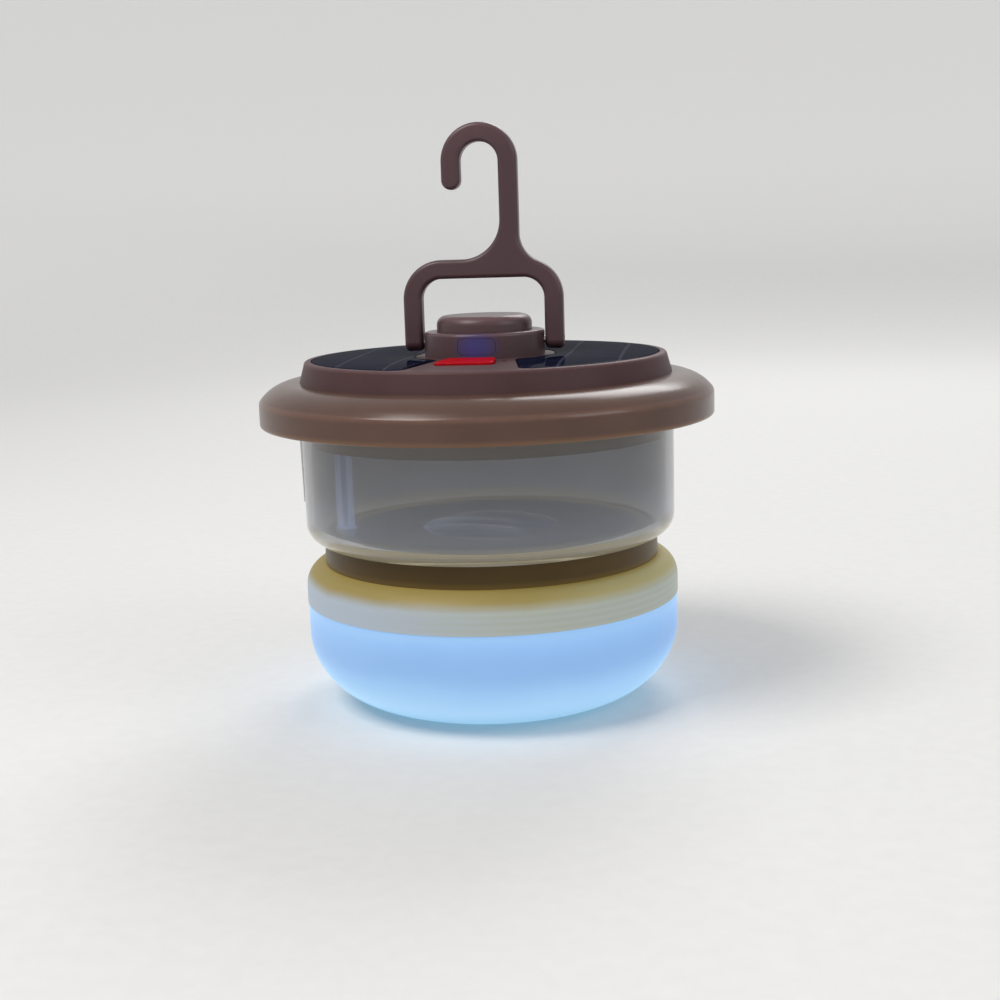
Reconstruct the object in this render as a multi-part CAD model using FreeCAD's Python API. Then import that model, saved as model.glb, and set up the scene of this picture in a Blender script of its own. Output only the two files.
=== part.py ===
import FreeCAD, Part
import math
import os

# Camping lantern with a solar deck, a fold-down hook and an opal lamp dome.
# Millimetres. The origin is the centre of the flat under the dome, +Z is up.

# Shared clearances
fit = 0.10
running_fit = 0.06
screw_fit = 0.02
side_gap = 0.30

# Opal dome that closes the lamp head from below
dome_r = 46.3
dome_height = 26.0
dome_corner_height = 18.4
dome_flat_r = 25.8
dome_wall = 2.0
spigot_height = 4.0
lug_count = 3
lug_width_deg = 20.0
lug_height = 1.0
lug_reach = 0.6
lug_play_deg = 4.0
spigot_wall = 2.1

# Round sealing rings, used for the dome and for the deck
seal_section_r = 0.55
groove_play = 0.05

# Collar above the dome
collar_step = 0.2
collar_height = 9.6
collar_wall = 2.0
collar_plate = 2.2
shoulder_round = 5.6

# Round board with the lamp's diodes
led_board_r = 36.0
led_board_thickness = 1.6
led_board_drop = 3.4
led_boss_r = 3.2
led_screw_circle_r = 23.5
led_screw_count = 3
led_screw_first_deg = 90.0
led_ring_radii = (15.0, 30.5)
led_ring_counts = (8, 16)
led_size = (3.5, 2.8, 0.8)

# Brown neck ring between the collar and the clear shell
neck_inset = 0.8
neck_height = 5.55
neck_wall = 2.4
neck_flange_width = 9.0
neck_flange = 2.0
neck_boss_r = 2.8
neck_screw_count = 3
neck_screw_first_deg = 30.0

# Clear shell, a cup with a domed floor
shell_top_r = 46.0
shell_taper = 0.1
shell_height = 28.95
shell_wall = 2.0
shell_corner_r = 4.6
shell_lip_inset = 3.5
shell_floor = 1.75
shell_inner_round = 4.0
punt_r = 17.0
punt_rise = 2.6
skirt_wall = 1.7
skirt_gap = 0.15
bead_height = 0.8
bead_reach = 0.35
index_rib_width = 3.0
index_rib_proud = 0.7
index_rib_foot = 0.3
index_rib_length = 20.0
index_rib_deg = 188.5

# Slim duct that brings the lamp leads down inside the clear shell
duct_r = 2.2
duct_bore_r = 1.6
duct_gap = 1.0
duct_deg = 186.0

# Base plate of the top housing
shell_seal_thickness = 0.9
plate_thickness = 2.4
plate_recess = 0.9
rib_wall = 1.9
rib_height = 4.4
rim_wall_thickness = 2.0
pillar_r = 3.4
pillar_height = 2.6
pillar_gap = 0.5
cover_screw_count = 4
cover_screw_first_deg = 45.0

# Brim, the wide rounded ring around the top housing
brim_r = 55.9
brim_height = 10.3
brim_wall = 2.2
ledge_margin = 1.6
brim_shoulder_r = 1.8
brim_shoulder_deg = 38.0
hollow_side_height = 2.0
brim_edge_round = 0.7
ledge_inner_r = 44.0

# Deck that carries the solar panels
deck_seat_width = 1.8
deck_top_r = 44.6
deck_height = 5.0
deck_plate = 2.6
deck_edge_round = 0.8
deck_spigot_height = 2.0
deck_spigot_wall = 2.0

# Solar panels, left and right of a tapered land
panel_rim = 1.8
panel_hub_gap = 2.4
panel_thickness = 1.8
panel_recess = 1.2
panel_corner_r = 3.0
panel_crown = 0.5
panel_edge_round = 0.5
land_half = 7.0
land_taper = 0.16

# Red plate and small round hole on the land
red_plate_x = -0.9
red_plate_gap = 1.6
red_plate_length = 12.6
red_plate_back_half = 5.7
red_plate_front_half = 7.2
red_plate_corner_r = 1.6
red_plate_thickness = 1.5
red_plate_recess = 0.8
pinhole_gap = 1.1
pinhole_setback = 3.7
pinhole_r = 0.75
pinhole_depth = 1.2

# Hub in the middle of the deck
hub_r = 14.8
hub_height = 6.0
hub_wall = 2.2
hub_lip = 2.4
hub_edge_round = 0.7
hub_shoulder = 0.8
hub_spigot_drop = 1.4
window_width = 9.0
window_height = 3.8
window_depth = 1.1
window_corner_r = 1.2
window_rise = 1.1

# Ring nut that clamps the hub from below
nut_width = 4.2
nut_lip = 1.0
nut_lip_width = 2.6
nut_notch_count = 6
nut_notch_width = 3.0
nut_notch_depth = 1.4

# Push button and its switch
button_rise = 3.8
button_top_wall = 2.0
button_wall = 1.8
button_edge_round = 2.2
button_flange = 1.2
button_flange_reach = 0.75
button_flange_play = 0.15
button_stem_r = 2.0
button_travel = 1.2
button_seat_gap = 0.05
switch_board_thickness = 1.2
switch_size = (6.0, 6.0, 3.6)
plunger_r = 1.7
plunger_insert = 1.3
status_led_size = (3.0, 1.5, 1.2)
status_led_setback = 3.0

# Hook, a flat moulded bail with a stem and an open hook
hook_bar = 4.6
hook_thickness = 4.4
hook_edge_round = 1.1
pin_r = 0.9
pin_seat = 2.0
eye_clear = 0.6
bail_inner_rise = 15.3
bail_inner_round = 5.0
stem_x = 6.95
flare_left_r = 9.5
flare_right_r = 7.0
arch_rise = 43.2
tip_drop = 4.3

# Charging port at the back of the brim
port_mouth = (9.6, 3.8)
port_pocket = (16.4, 5.2)
port_recess = 3.3
port_pad_depth = 2.2
port_pad_margin = 1.2
cover_gap = 0.25
cover_plug = (8.0, 2.4, 1.2)

# Main board, its socket and parts
board_thickness = 1.2
board_half_width = 20.0
board_front_y = 11.5
board_back_y = 36.0
tongue_half_width = 6.6
board_post_r = 2.4
board_screw_edge = 2.8
socket_size = (8.94, 7.3, 3.26)
socket_wall = 0.3
socket_back = 1.0
socket_tongue = (6.7, 4.6, 0.7)
socket_setback = 1.3
board_chip_list = (
    (-6.0, 20.0, 5.0, 5.0, 0.9),
    (6.5, 21.0, 6.0, 6.0, 2.4),
    (-7.0, 30.0, 3.2, 1.6, 1.2),
    (0.0, 30.5, 3.2, 1.6, 1.2),
    (8.0, 30.5, 4.0, 4.0, 1.5),
)

# Flat cell on its adhesive pad
cell_length = 25.0
cell_side_gap = 1.5
cell_head_room = 1.0
cell_back_y = -10.0
cell_edge_round = 1.6
pad_thickness = 0.4
pad_margin = 3.0

# Small screws: head radius, head height, shank radius
cover_screw = (2.2, 1.4, 1.25)
board_screw = (1.8, 1.1, 0.9)
led_screw = (2.0, 1.2, 1.0)
neck_screw = (2.2, 1.2, 1.15)
cross_slot_width = 0.5
cross_slot_depth = 0.6
cross_slot_share = 0.6
screw_end_gap = 0.15
cover_screw_length = 9.0
board_screw_length = 2.6
led_screw_length = 4.0

# Insulated leads and where they start or end
lead_r = 0.55
lead_spacing = 1.3
lead_bend_r = 1.8
led_lead_x = -14.2
led_lead_setback = 11.5
battery_lead_x = 12.0
lead_run = 4.0
panel_lead_x = 24.0
panel_lead_gap = 3.5
panel_lead_end_x = 13.0
panel_lead_end_y = 28.0
switch_lead_y = 7.4

# Levels, from the ground up
z_seam = dome_height
z_collar_top = z_seam + collar_height
z_collar_under = z_collar_top - collar_plate
z_lip = z_collar_top + neck_height
z_floor = z_lip + shell_floor
z_skirt = z_collar_top + neck_flange + skirt_gap
z_neck_boss = z_skirt + neck_flange / 2
z_shell_top = z_lip + shell_height
z_plate = z_shell_top + shell_seal_thickness
z_plate_top = z_plate + plate_thickness
z_brim_bottom = z_plate - plate_recess
z_ledge = z_brim_bottom + brim_height
z_ledge_under = z_ledge - brim_wall
z_deck_top = z_ledge + deck_height
z_deck_under = z_deck_top - deck_plate
z_hub_top = z_deck_top + hub_height
z_spigot_end = z_deck_under - hub_spigot_drop
z_switch_board = z_spigot_end - switch_board_thickness
z_nut = z_switch_board - nut_lip
z_button_top = z_hub_top + button_rise
z_flange_top = z_hub_top - hub_lip - button_seat_gap
z_flange = z_flange_top - button_flange
z_switch_top = z_spigot_end + switch_size[2]
z_plunger_top = z_switch_top + button_travel + button_seat_gap
z_port = z_plate_top + fit + port_pocket[1] / 2
z_board_top = z_port + board_thickness / 2
z_board = z_port - board_thickness / 2
z_led_board_top = z_collar_under - led_board_drop
z_led_board = z_led_board_top - led_board_thickness
z_pillar_top = z_plate_top + pillar_height
z_panel = z_deck_top - panel_recess
z_pivot = z_panel + panel_thickness + eye_clear + hook_thickness / 2
z_cell = z_plate_top + pad_thickness
z_cell_top = z_nut - cell_head_room

# Radii that follow from the sizes above
collar_r = dome_r + collar_step
collar_inner_r = collar_r - collar_wall
spigot_r = collar_inner_r - fit
spigot_inner_r = spigot_r - spigot_wall
shell_low_r = shell_top_r - shell_taper
shell_lip_r = shell_low_r - shell_lip_inset
shell_inner_top_r = shell_top_r - shell_wall
shell_inner_low_r = shell_low_r - shell_wall
shell_flat_r = shell_inner_low_r - shell_inner_round
neck_r = shell_lip_r - neck_inset
neck_inner_r = neck_r - neck_wall
neck_flange_inner_r = neck_inner_r - neck_flange_width
skirt_r = neck_inner_r - fit
skirt_inner_r = skirt_r - skirt_wall
neck_screw_circle_r = skirt_inner_r - neck_boss_r - 2 * fit
neck_screw_length = z_neck_boss - z_collar_under - screw_end_gap
duct_circle_r = shell_flat_r - duct_r - duct_gap
shell_draft = (shell_top_r - shell_low_r) / (shell_height - shell_corner_r)
rib_r = shell_inner_top_r - max(0.0, shell_draft * rib_height) - fit
deck_foot_r = ledge_inner_r + deck_seat_width
brim_ledge_r = deck_foot_r + ledge_margin
brim_inner_r = brim_r - brim_wall
z_hollow_side = z_brim_bottom + hollow_side_height
hollow_rise = max(0.0, z_plate_top - z_hollow_side) / (z_ledge_under - z_hollow_side)
hollow_r = brim_ledge_r + (brim_inner_r - brim_ledge_r) * math.sqrt(1 - hollow_rise ** 2)
plate_r = hollow_r - fit
port_face_y = brim_r - port_recess
port_pad_y = port_face_y - port_pad_depth
port_pad_half = port_pocket[0] / 2 + port_pad_margin
tongue_back_y = port_pad_y - fit
socket_back_y = port_face_y - socket_setback - socket_size[1]
deck_spigot_r = ledge_inner_r - fit
deck_inner_r = deck_spigot_r - deck_spigot_wall
cover_screw_circle_r = deck_inner_r - pillar_r - pillar_gap
pillar_x = cover_screw_circle_r * math.cos(math.radians(cover_screw_first_deg))
cell_half_width = pillar_x - pillar_r - cell_side_gap
panel_lead_y = pillar_x - pillar_r - panel_lead_gap
led_lead_y = board_front_y + led_lead_setback
panel_outer_r = deck_top_r - panel_rim
panel_inner_r = hub_r + panel_hub_gap
red_plate_back_y = -hub_r - red_plate_gap
pinhole_x = red_plate_x + red_plate_front_half + pinhole_gap
pinhole_y = red_plate_back_y - pinhole_setback
hub_bore_r = hub_r - hub_wall
hub_spigot_r = hub_r - hub_shoulder
nut_r = hub_spigot_r + nut_width
nut_lip_inner_r = hub_spigot_r - nut_lip_width
button_r = hub_bore_r - button_flange_play - button_flange_reach
status_led_y = status_led_setback - hub_bore_r
lip_bore_r = button_r + running_fit
hook_leg_inner = hub_r + side_gap
leg_outer = hook_leg_inner + hook_bar
bail_outer_round = bail_inner_round + hook_bar

ORIGIN = FreeCAD.Vector(0, 0, 0)
UP = FreeCAD.Vector(0, 0, 1)
ACROSS = FreeCAD.Vector(1, 0, 0)


def vec(x, y, z):
    """Short name for a point."""
    return FreeCAD.Vector(x, y, z)


def disc(r, z0, z1, x=0.0, y=0.0):
    """Upright cylinder between two levels."""
    return Part.makeCylinder(r, z1 - z0, vec(x, y, z0))


def ring(r_out, r_in, z0, z1):
    """Upright tube between two levels."""
    return disc(r_out, z0, z1).cut(disc(r_in, z0, z1))


def block(x0, x1, y0, y1, z0, z1):
    """Box from its limits."""
    return Part.makeBox(x1 - x0, y1 - y0, z1 - z0, vec(x0, y0, z0))


def spun(shape, degrees):
    """Copy turned about the vertical axis."""
    copy = shape.copy()
    copy.rotate(ORIGIN, UP, degrees)
    return copy


def around(count, radius, first_deg=0.0):
    """Points evenly spaced on a circle."""
    angles = [math.radians(first_deg + 360.0 * i / count) for i in range(count)]
    return [(radius * math.cos(a), radius * math.sin(a)) for a in angles]


def sector(r_out, r_in, z0, z1, middle_deg, width_deg):
    """Piece of a tube, centred on a direction."""
    span = Part.makeCylinder(r_out, z1 - z0, vec(0, 0, z0), UP, width_deg)
    return spun(span.cut(disc(r_in, z0, z1)), middle_deg - width_deg / 2)


def quarter(start, corner, end):
    """Quarter ellipse that leaves and arrives along the two sides of a corner."""
    curve = Part.BezierCurve()
    curve.setPoles([start, corner, end])
    curve.setWeight(2, math.sqrt(0.5))
    return curve.toShape()


def turned(start, *steps):
    """Solid of revolution. A step is a point, or a bend with its kind and two points."""
    here = vec(start[0], 0, start[1])
    first = here
    edges = []
    for step in steps:
        there = vec(step[-2], 0, step[-1])
        if step[0] == "quarter":
            edges.append(quarter(here, vec(step[1], 0, step[2]), there))
        elif step[0] == "arc":
            edges.append(Part.Arc(here, vec(step[1], 0, step[2]), there).toShape())
        else:
            edges.append(Part.LineSegment(here, there).toShape())
        here = there
    edges.append(Part.LineSegment(here, first).toShape())
    return Part.Face(Part.Wire(edges)).revolve(ORIGIN, UP, 360)


def bend_point(x, z, r, turn):
    """Point on a round bend about a centre, turned up from the level."""
    return x + r * math.cos(turn), z + r * math.sin(turn)


def flat(points):
    """Face in the upright XZ plane from its corner points."""
    corners = [vec(x, 0, z) for x, z in points]
    return Part.Face(Part.makePolygon(corners + corners[:1]))


def upright_plate(face, thickness):
    """Plate of a thickness, centred on a face in the upright XZ plane."""
    solid = face.extrude(vec(0, thickness, 0))
    solid.translate(vec(0, -thickness / 2, 0))
    return solid


def tidy(shape):
    """Merge faces that lie in one surface and give back the bare solid."""
    clean = shape.removeSplitter()
    return clean.Solids[0] if len(clean.Solids) == 1 else clean


def group(solids):
    """Several separate solids in one node."""
    return Part.makeCompound([tidy(s) for s in solids])


def upright_edges(shape):
    """Edges that run straight up."""
    return [e for e in shape.Edges if abs(e.tangentAt(e.FirstParameter).z) > 0.999]


def edges_at(shape, z):
    """Edges that lie in one level."""
    return [e for e in shape.Edges if e.BoundBox.ZMin > z - 1e-4 and e.BoundBox.ZMax < z + 1e-4]


def seal_groove(bore_r, z):
    """Groove cut in a spigot for a round seal that meets the bore."""
    half = seal_section_r + groove_play
    return ring(bore_r, bore_r - 2 * half, z - half, z + half)


def seal_ring(bore_r, z):
    """Round seal that just meets the bore."""
    return Part.makeTorus(bore_r - seal_section_r - screw_fit, seal_section_r, vec(0, 0, z))


def screw(sizes, length, x, y, z, upward):
    """Pan head screw with a cross slot. z is the level under its head."""
    head_r, head_height, shank_r = sizes
    way = 1 if upward else -1
    head = Part.makeCylinder(head_r, head_height, vec(x, y, z), vec(0, 0, -way))
    shank = Part.makeCylinder(shank_r, length, vec(x, y, z), vec(0, 0, way))
    z_face = z - way * head_height
    low = min(z_face, z_face + way * cross_slot_depth)
    long_half = head_r * cross_slot_share
    thin_half = cross_slot_width / 2
    for half_x, half_y in ((long_half, thin_half), (thin_half, long_half)):
        slot = block(x - half_x, x + half_x, y - half_y, y + half_y, low, low + cross_slot_depth)
        head = head.cut(slot)
    return head.fuse(shank)


def lead(points):
    """Round insulated wire along straight runs joined by arcs."""
    edges = []
    here = points[0]
    for before, corner, after in zip(points, points[1:], points[2:]):
        into = (corner - before).normalize()
        out = (after - corner).normalize()
        turn = into.getAngle(out)
        trim = lead_bend_r * math.tan(turn / 2)
        start = corner - into * trim
        end = corner + out * trim
        inward = (out - into).normalize()
        middle = corner + inward * (lead_bend_r / math.cos(turn / 2) - lead_bend_r)
        edges.append(Part.LineSegment(here, start).toShape())
        edges.append(Part.Arc(start, middle, end).toShape())
        here = end
    edges.append(Part.LineSegment(here, points[-1]).toShape())
    heading = (points[1] - points[0]).normalize()
    circle = Part.Wire([Part.Circle(points[0], heading, lead_r).toShape()])
    return Part.Wire(edges).makePipeShell([circle], True, False)


def duct_point(z, shift=0.0, circle_r=duct_circle_r):
    """Point on the duct's line, shifted sideways around the shell."""
    a = math.radians(duct_deg)
    return vec(
        circle_r * math.cos(a) - shift * math.sin(a),
        circle_r * math.sin(a) + shift * math.cos(a),
        z,
    )


def duct_hole(r, z0, z1):
    """Hole through which the lamp leads pass."""
    centre = duct_point(z0)
    return disc(r, z0, z1, centre.x, centre.y)


# Lamp head

led_screw_points = around(led_screw_count, led_screw_circle_r, led_screw_first_deg)
neck_screw_points = around(neck_screw_count, neck_screw_circle_r, neck_screw_first_deg)
cover_screw_points = around(cover_screw_count, cover_screw_circle_r, cover_screw_first_deg)
lug_degs = [360.0 * i / lug_count for i in range(lug_count)]
z_dome_seal = z_seam + 2 * seal_section_r
z_lug = z_seam + spigot_height - lug_height


def make_dome():
    """Opal bowl with a spigot that plugs into the collar and locks with three lugs."""
    inner_r = dome_r - dome_wall
    body = turned(
        (0, 0),
        (dome_flat_r, 0),
        ("quarter", dome_r, 0, dome_r, dome_corner_height),
        (dome_r, z_seam),
        (spigot_r, z_seam),
        (spigot_r, z_seam + spigot_height),
        (spigot_inner_r, z_seam + spigot_height),
        (spigot_inner_r, z_seam - dome_wall),
        (inner_r, z_seam - 2 * dome_wall),
        (inner_r, dome_corner_height),
        ("quarter", inner_r, dome_wall, dome_flat_r, dome_wall),
        (0, dome_wall),
    )
    body = body.cut(seal_groove(collar_inner_r, z_dome_seal))
    for deg in lug_degs:
        lug = sector(spigot_r + lug_reach, spigot_inner_r, z_lug, z_lug + lug_height, deg, lug_width_deg)
        body = body.fuse(lug)
    return tidy(body)


def make_collar():
    """Cup that faces down, with a rounded shoulder, bosses and pockets for the dome's lugs."""
    shoulder_r = collar_r - shoulder_round
    z_shoulder = z_collar_top - shoulder_round
    body = turned(
        (collar_inner_r, z_seam),
        (collar_r, z_seam),
        (collar_r, z_shoulder),
        ("quarter", collar_r, z_collar_top, shoulder_r, z_collar_top),
        (0, z_collar_top),
        (0, z_collar_under),
        (shoulder_r, z_collar_under),
        ("quarter", collar_inner_r, z_collar_under, collar_inner_r, z_shoulder),
    )
    pocket_deg = lug_width_deg + lug_play_deg
    for deg in lug_degs:
        pocket_r = spigot_r + lug_reach + fit
        pocket = sector(pocket_r, spigot_r, z_lug - fit, z_lug + lug_height + fit, deg, pocket_deg)
        body = body.cut(pocket)
    for x, y in led_screw_points:
        body = body.fuse(disc(led_boss_r, z_led_board_top, z_collar_under, x, y))
    for x, y in led_screw_points:
        body = body.cut(disc(led_screw[2] + screw_fit, z_led_board_top, z_collar_top, x, y))
    for x, y in neck_screw_points:
        body = body.cut(disc(neck_screw[2] + fit, z_collar_under, z_collar_top, x, y))
    return tidy(body.cut(duct_hole(duct_bore_r, z_collar_under, z_collar_top)))


def make_led_board():
    """Round metal-backed board with holes for its screws."""
    body = disc(led_board_r, z_led_board, z_led_board_top)
    for x, y in led_screw_points:
        body = body.cut(disc(led_screw[2] + fit, z_led_board, z_led_board_top, x, y))
    return body


def make_led_chips():
    """Two rings of diodes that face down into the dome."""
    size_x, size_y, size_z = led_size
    chip = block(-size_x / 2, size_x / 2, -size_y / 2, size_y / 2, z_led_board - size_z, z_led_board)
    chips = []
    for radius, count in zip(led_ring_radii, led_ring_counts):
        for i in range(count):
            moved = chip.copy()
            moved.translate(vec(radius, 0, 0))
            chips.append(spun(moved, 360.0 * i / count))
    return group(chips)


def make_neck_ring():
    """Ring with an inner flange, screw bosses and a groove for the shell's snap bead."""
    body = ring(neck_r, neck_inner_r, z_collar_top, z_lip)
    body = body.fuse(ring(neck_inner_r, neck_flange_inner_r, z_collar_top, z_collar_top + neck_flange))
    for x, y in neck_screw_points:
        body = body.fuse(disc(neck_boss_r, z_collar_top, z_neck_boss, x, y))
    for x, y in neck_screw_points:
        body = body.cut(disc(neck_screw[2] + screw_fit, z_collar_top, z_neck_boss, x, y))
    z_bead = z_skirt + bead_height
    groove_r = neck_inner_r + bead_reach
    body = body.cut(ring(groove_r, neck_inner_r - fit, z_bead - bead_height - fit, z_bead + fit))
    return tidy(body.cut(duct_hole(duct_bore_r, z_collar_top, z_lip)))


def make_clear_shell():
    """Clear cup with a rounded foot, a domed floor and a skirt that snaps into the neck ring."""
    corner_x = shell_low_r - shell_corner_r
    lip_x = shell_lip_r - corner_x
    corner_z = z_lip + math.sqrt(shell_corner_r ** 2 - lip_x ** 2)
    half_sweep = math.acos(lip_x / shell_corner_r) / 2
    arc_x = corner_x + shell_corner_r * math.cos(half_sweep)
    arc_z = corner_z - shell_corner_r * math.sin(half_sweep)
    under_r = punt_r - shell_floor
    sphere_r = (punt_r ** 2 + punt_rise ** 2) / (2 * punt_rise)
    half_punt = math.asin(punt_r / sphere_r) / 2
    half_x = sphere_r * math.sin(half_punt)
    half_z = punt_rise - sphere_r * (1 - math.cos(half_punt))
    under_scale = under_r / punt_r
    body = turned(
        (0, z_lip + punt_rise),
        ("arc", half_x * under_scale, z_lip + half_z, under_r, z_lip),
        (shell_lip_r, z_lip),
        ("arc", arc_x, arc_z, shell_low_r, corner_z),
        (shell_top_r, z_shell_top),
        (shell_inner_top_r, z_shell_top),
        (shell_inner_low_r, z_floor + shell_inner_round),
        ("quarter", shell_inner_low_r, z_floor, shell_flat_r, z_floor),
        (punt_r, z_floor),
        ("arc", half_x, z_floor + half_z, 0, z_floor + punt_rise),
    )
    body = body.fuse(ring(skirt_r, skirt_inner_r, z_skirt, z_lip))
    body = body.fuse(ring(skirt_r + bead_reach, skirt_inner_r, z_skirt, z_skirt + bead_height))
    rib_root = shell_low_r - shell_wall / 2
    z_rib = z_shell_top - index_rib_length
    rib = upright_plate(flat([
        (rib_root, z_rib),
        (shell_low_r, z_rib),
        (shell_top_r + index_rib_foot, z_rib + index_rib_foot),
        (shell_top_r + index_rib_proud, z_shell_top),
        (rib_root, z_shell_top),
    ]), index_rib_width)
    body = body.fuse(spun(rib, index_rib_deg))
    for x, y in neck_screw_points:
        body = body.cut(disc(neck_boss_r + fit, z_skirt, z_lip, x, y))
    z_bead = z_shell_top - rib_height / 2
    groove_r = shell_inner_top_r + bead_reach
    body = body.cut(ring(groove_r, rib_r - shell_wall, z_bead - fit, z_bead + bead_height + fit))
    return tidy(body.cut(duct_hole(duct_bore_r, z_skirt, z_floor)))


def make_wire_duct():
    """Slim tube between the shell's floor and the base plate."""
    return duct_hole(duct_r, z_floor, z_plate).cut(duct_hole(duct_bore_r, z_floor, z_plate))


# Top housing

board_screw_x = board_half_width - board_screw_edge
board_screw_ys = (board_front_y + board_screw_edge, board_back_y - board_screw_edge)
board_screw_points = [(sx * board_screw_x, y) for sx in (-1, 1) for y in board_screw_ys]


def make_shell_seal():
    """Flat gasket between the clear shell and the base plate."""
    return ring(shell_top_r - fit, shell_inner_top_r + fit, z_shell_top, z_plate)


def make_base_plate():
    """Floor of the top housing, with a rib for the shell, a rim wall, pillars and board posts."""
    body = disc(plate_r, z_plate, z_plate_top)
    z_rib = z_plate - shell_seal_thickness - rib_height
    body = body.fuse(ring(rib_r, rib_r - rib_wall, z_rib, z_plate))
    z_bead = z_shell_top - rib_height / 2
    body = body.fuse(ring(rib_r + bead_reach, rib_r - rib_wall, z_bead, z_bead + bead_height))
    rim_r = ledge_inner_r + rim_wall_thickness
    rim = ring(rim_r, ledge_inner_r, z_plate_top, z_ledge_under)
    gap = tongue_half_width + rim_wall_thickness
    rim = rim.cut(block(-gap, gap, 0, rim_r, z_plate_top, z_ledge_under))
    gap = port_pad_half + fit
    rim = rim.cut(block(-gap, gap, port_pad_y - fit, brim_r, z_plate_top, z_ledge_under))
    gap = board_half_width + fit
    rim = rim.cut(block(-gap, gap, 0, board_back_y + fit, z_plate_top, z_ledge_under))
    for x, y in cover_screw_points:
        rim = rim.cut(disc(pillar_r + fit, z_plate_top, z_ledge_under, x, y))
    body = body.fuse(rim)
    for x, y in cover_screw_points:
        body = body.fuse(disc(pillar_r, z_plate_top, z_pillar_top, x, y))
    for x, y in board_screw_points:
        body = body.fuse(disc(board_post_r, z_plate_top, z_board, x, y))
    head_r, head_height, shank_r = cover_screw
    for x, y in cover_screw_points:
        body = body.cut(disc(head_r + fit, z_plate, z_plate + head_height + fit, x, y))
        body = body.cut(disc(shank_r + fit, z_plate, z_pillar_top, x, y))
    for x, y in board_screw_points:
        body = body.cut(disc(board_screw[2] + screw_fit, z_board_top - board_screw_length - board_thickness,
                             z_board, x, y))
    return tidy(body.cut(duct_hole(duct_bore_r, z_plate, z_plate_top)))


def brim_outline():
    """Full body of the brim without its hollow: upright side, tight shoulder, wide cap."""
    turn = math.radians(brim_shoulder_deg)
    shoulder_width = brim_shoulder_r * (1 - math.cos(turn))
    cap_r = (brim_r - brim_ledge_r - shoulder_width) / math.cos(turn)
    z_cap = z_ledge - cap_r
    z_side = z_cap + (cap_r - brim_shoulder_r) * math.sin(turn)
    shoulder = (brim_r - brim_shoulder_r, z_side, brim_shoulder_r)
    cap = (brim_ledge_r, z_cap, cap_r)
    upright = math.pi / 2
    return turned(
        (0, z_brim_bottom),
        (brim_r - brim_edge_round, z_brim_bottom),
        ("quarter", brim_r, z_brim_bottom, brim_r, z_brim_bottom + brim_edge_round),
        (brim_r, z_side),
        ("arc", *bend_point(*shoulder, turn / 2), *bend_point(*shoulder, turn)),
        ("arc", *bend_point(*cap, (turn + upright) / 2), *bend_point(*cap, upright)),
        (0, z_ledge),
    )


def port_box(size_x, size_z, y0, y1):
    """Box centred on the port."""
    return block(-size_x / 2, size_x / 2, y0, y1, z_port - size_z / 2, z_port + size_z / 2)


def make_brim():
    """Hollow rounded ring with an inner ledge and a pocket for the charging port."""
    hollow = turned(
        (0, z_brim_bottom),
        (brim_inner_r, z_brim_bottom),
        (brim_inner_r, z_hollow_side),
        ("quarter", brim_inner_r, z_ledge_under, brim_ledge_r, z_ledge_under),
        (0, z_ledge_under),
    )
    body = brim_outline().cut(hollow)
    body = body.cut(disc(ledge_inner_r, z_ledge_under, z_ledge))
    pocket_x, pocket_z = port_pocket
    pad = block(-port_pad_half, port_pad_half, port_pad_y, brim_r, z_plate_top + fit, z_ledge_under)
    body = body.fuse(pad.common(brim_outline()))
    body = body.cut(port_box(pocket_x, pocket_z, port_face_y, brim_r + brim_wall))
    return tidy(body.cut(port_box(port_mouth[0], port_mouth[1], socket_back_y, brim_r)))


def make_port_cover():
    """Soft cover that fills the pocket flush with the brim, with a short plug."""
    size_x = port_pocket[0] - 2 * cover_gap
    size_z = port_pocket[1] - 2 * cover_gap
    y_face = port_face_y + cover_gap
    lid = port_box(size_x, size_z, y_face, brim_r + brim_wall)
    lid = lid.common(brim_outline())
    plug_x, plug_z, plug_y = cover_plug
    return tidy(lid.fuse(port_box(plug_x, plug_z, y_face - plug_y, y_face)))


def panel_face(side, grow=0.0):
    """Outline of one solar panel: a ring sector beside the tapered land."""
    z = z_panel
    outer_r = panel_outer_r + grow
    reach = 2 * outer_r
    near = land_half - grow
    far = near + land_taper * reach
    half = Part.makePolygon([
        vec(near * side, 0, z),
        vec(far * side, -reach, z),
        vec(2 * reach * side, -reach, z),
        vec(2 * reach * side, reach, z),
        vec(far * side, reach, z),
        vec(near * side, 0, z),
    ])
    face = Part.Face(half)
    outer = Part.Face(Part.Wire([Part.Circle(vec(0, 0, z), UP, outer_r).toShape()]))
    inner = Part.Face(Part.Wire([Part.Circle(vec(0, 0, z), UP, panel_inner_r - grow).toShape()]))
    return face.common(outer).cut(inner)


def panel_block(side, height, grow=0.0):
    """Panel outline raised to a block with rounded corners."""
    body = panel_face(side, grow).extrude(vec(0, 0, height)).Solids[0]
    return body.makeFillet(panel_corner_r + grow, upright_edges(body))


def panel_crown_ring():
    """Ring with a gently crowned top, from inside the panels' inner edge to outside their outer edge."""
    middle = (panel_outer_r + panel_inner_r) / 2
    half = (panel_outer_r - panel_inner_r) / 2
    reach = half + panel_edge_round
    z_top = z_panel + panel_thickness
    z_edge = z_top - panel_crown * (reach / half) ** 2
    return turned(
        (middle - reach, z_panel),
        (middle + reach, z_panel),
        (middle + reach, z_edge),
        ("arc", middle, z_top, middle - reach, z_edge),
    )


def make_panel(side):
    """Glossy panel of poured resin, crowned from its inner to its outer edge, with softened edges."""
    body = tidy(panel_block(side, panel_thickness).common(panel_crown_ring()))
    z_low = z_panel + panel_thickness - 2 * panel_crown
    return tidy(body.makeFillet(panel_edge_round, [e for e in body.Edges if e.BoundBox.ZMin > z_low]))


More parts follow.
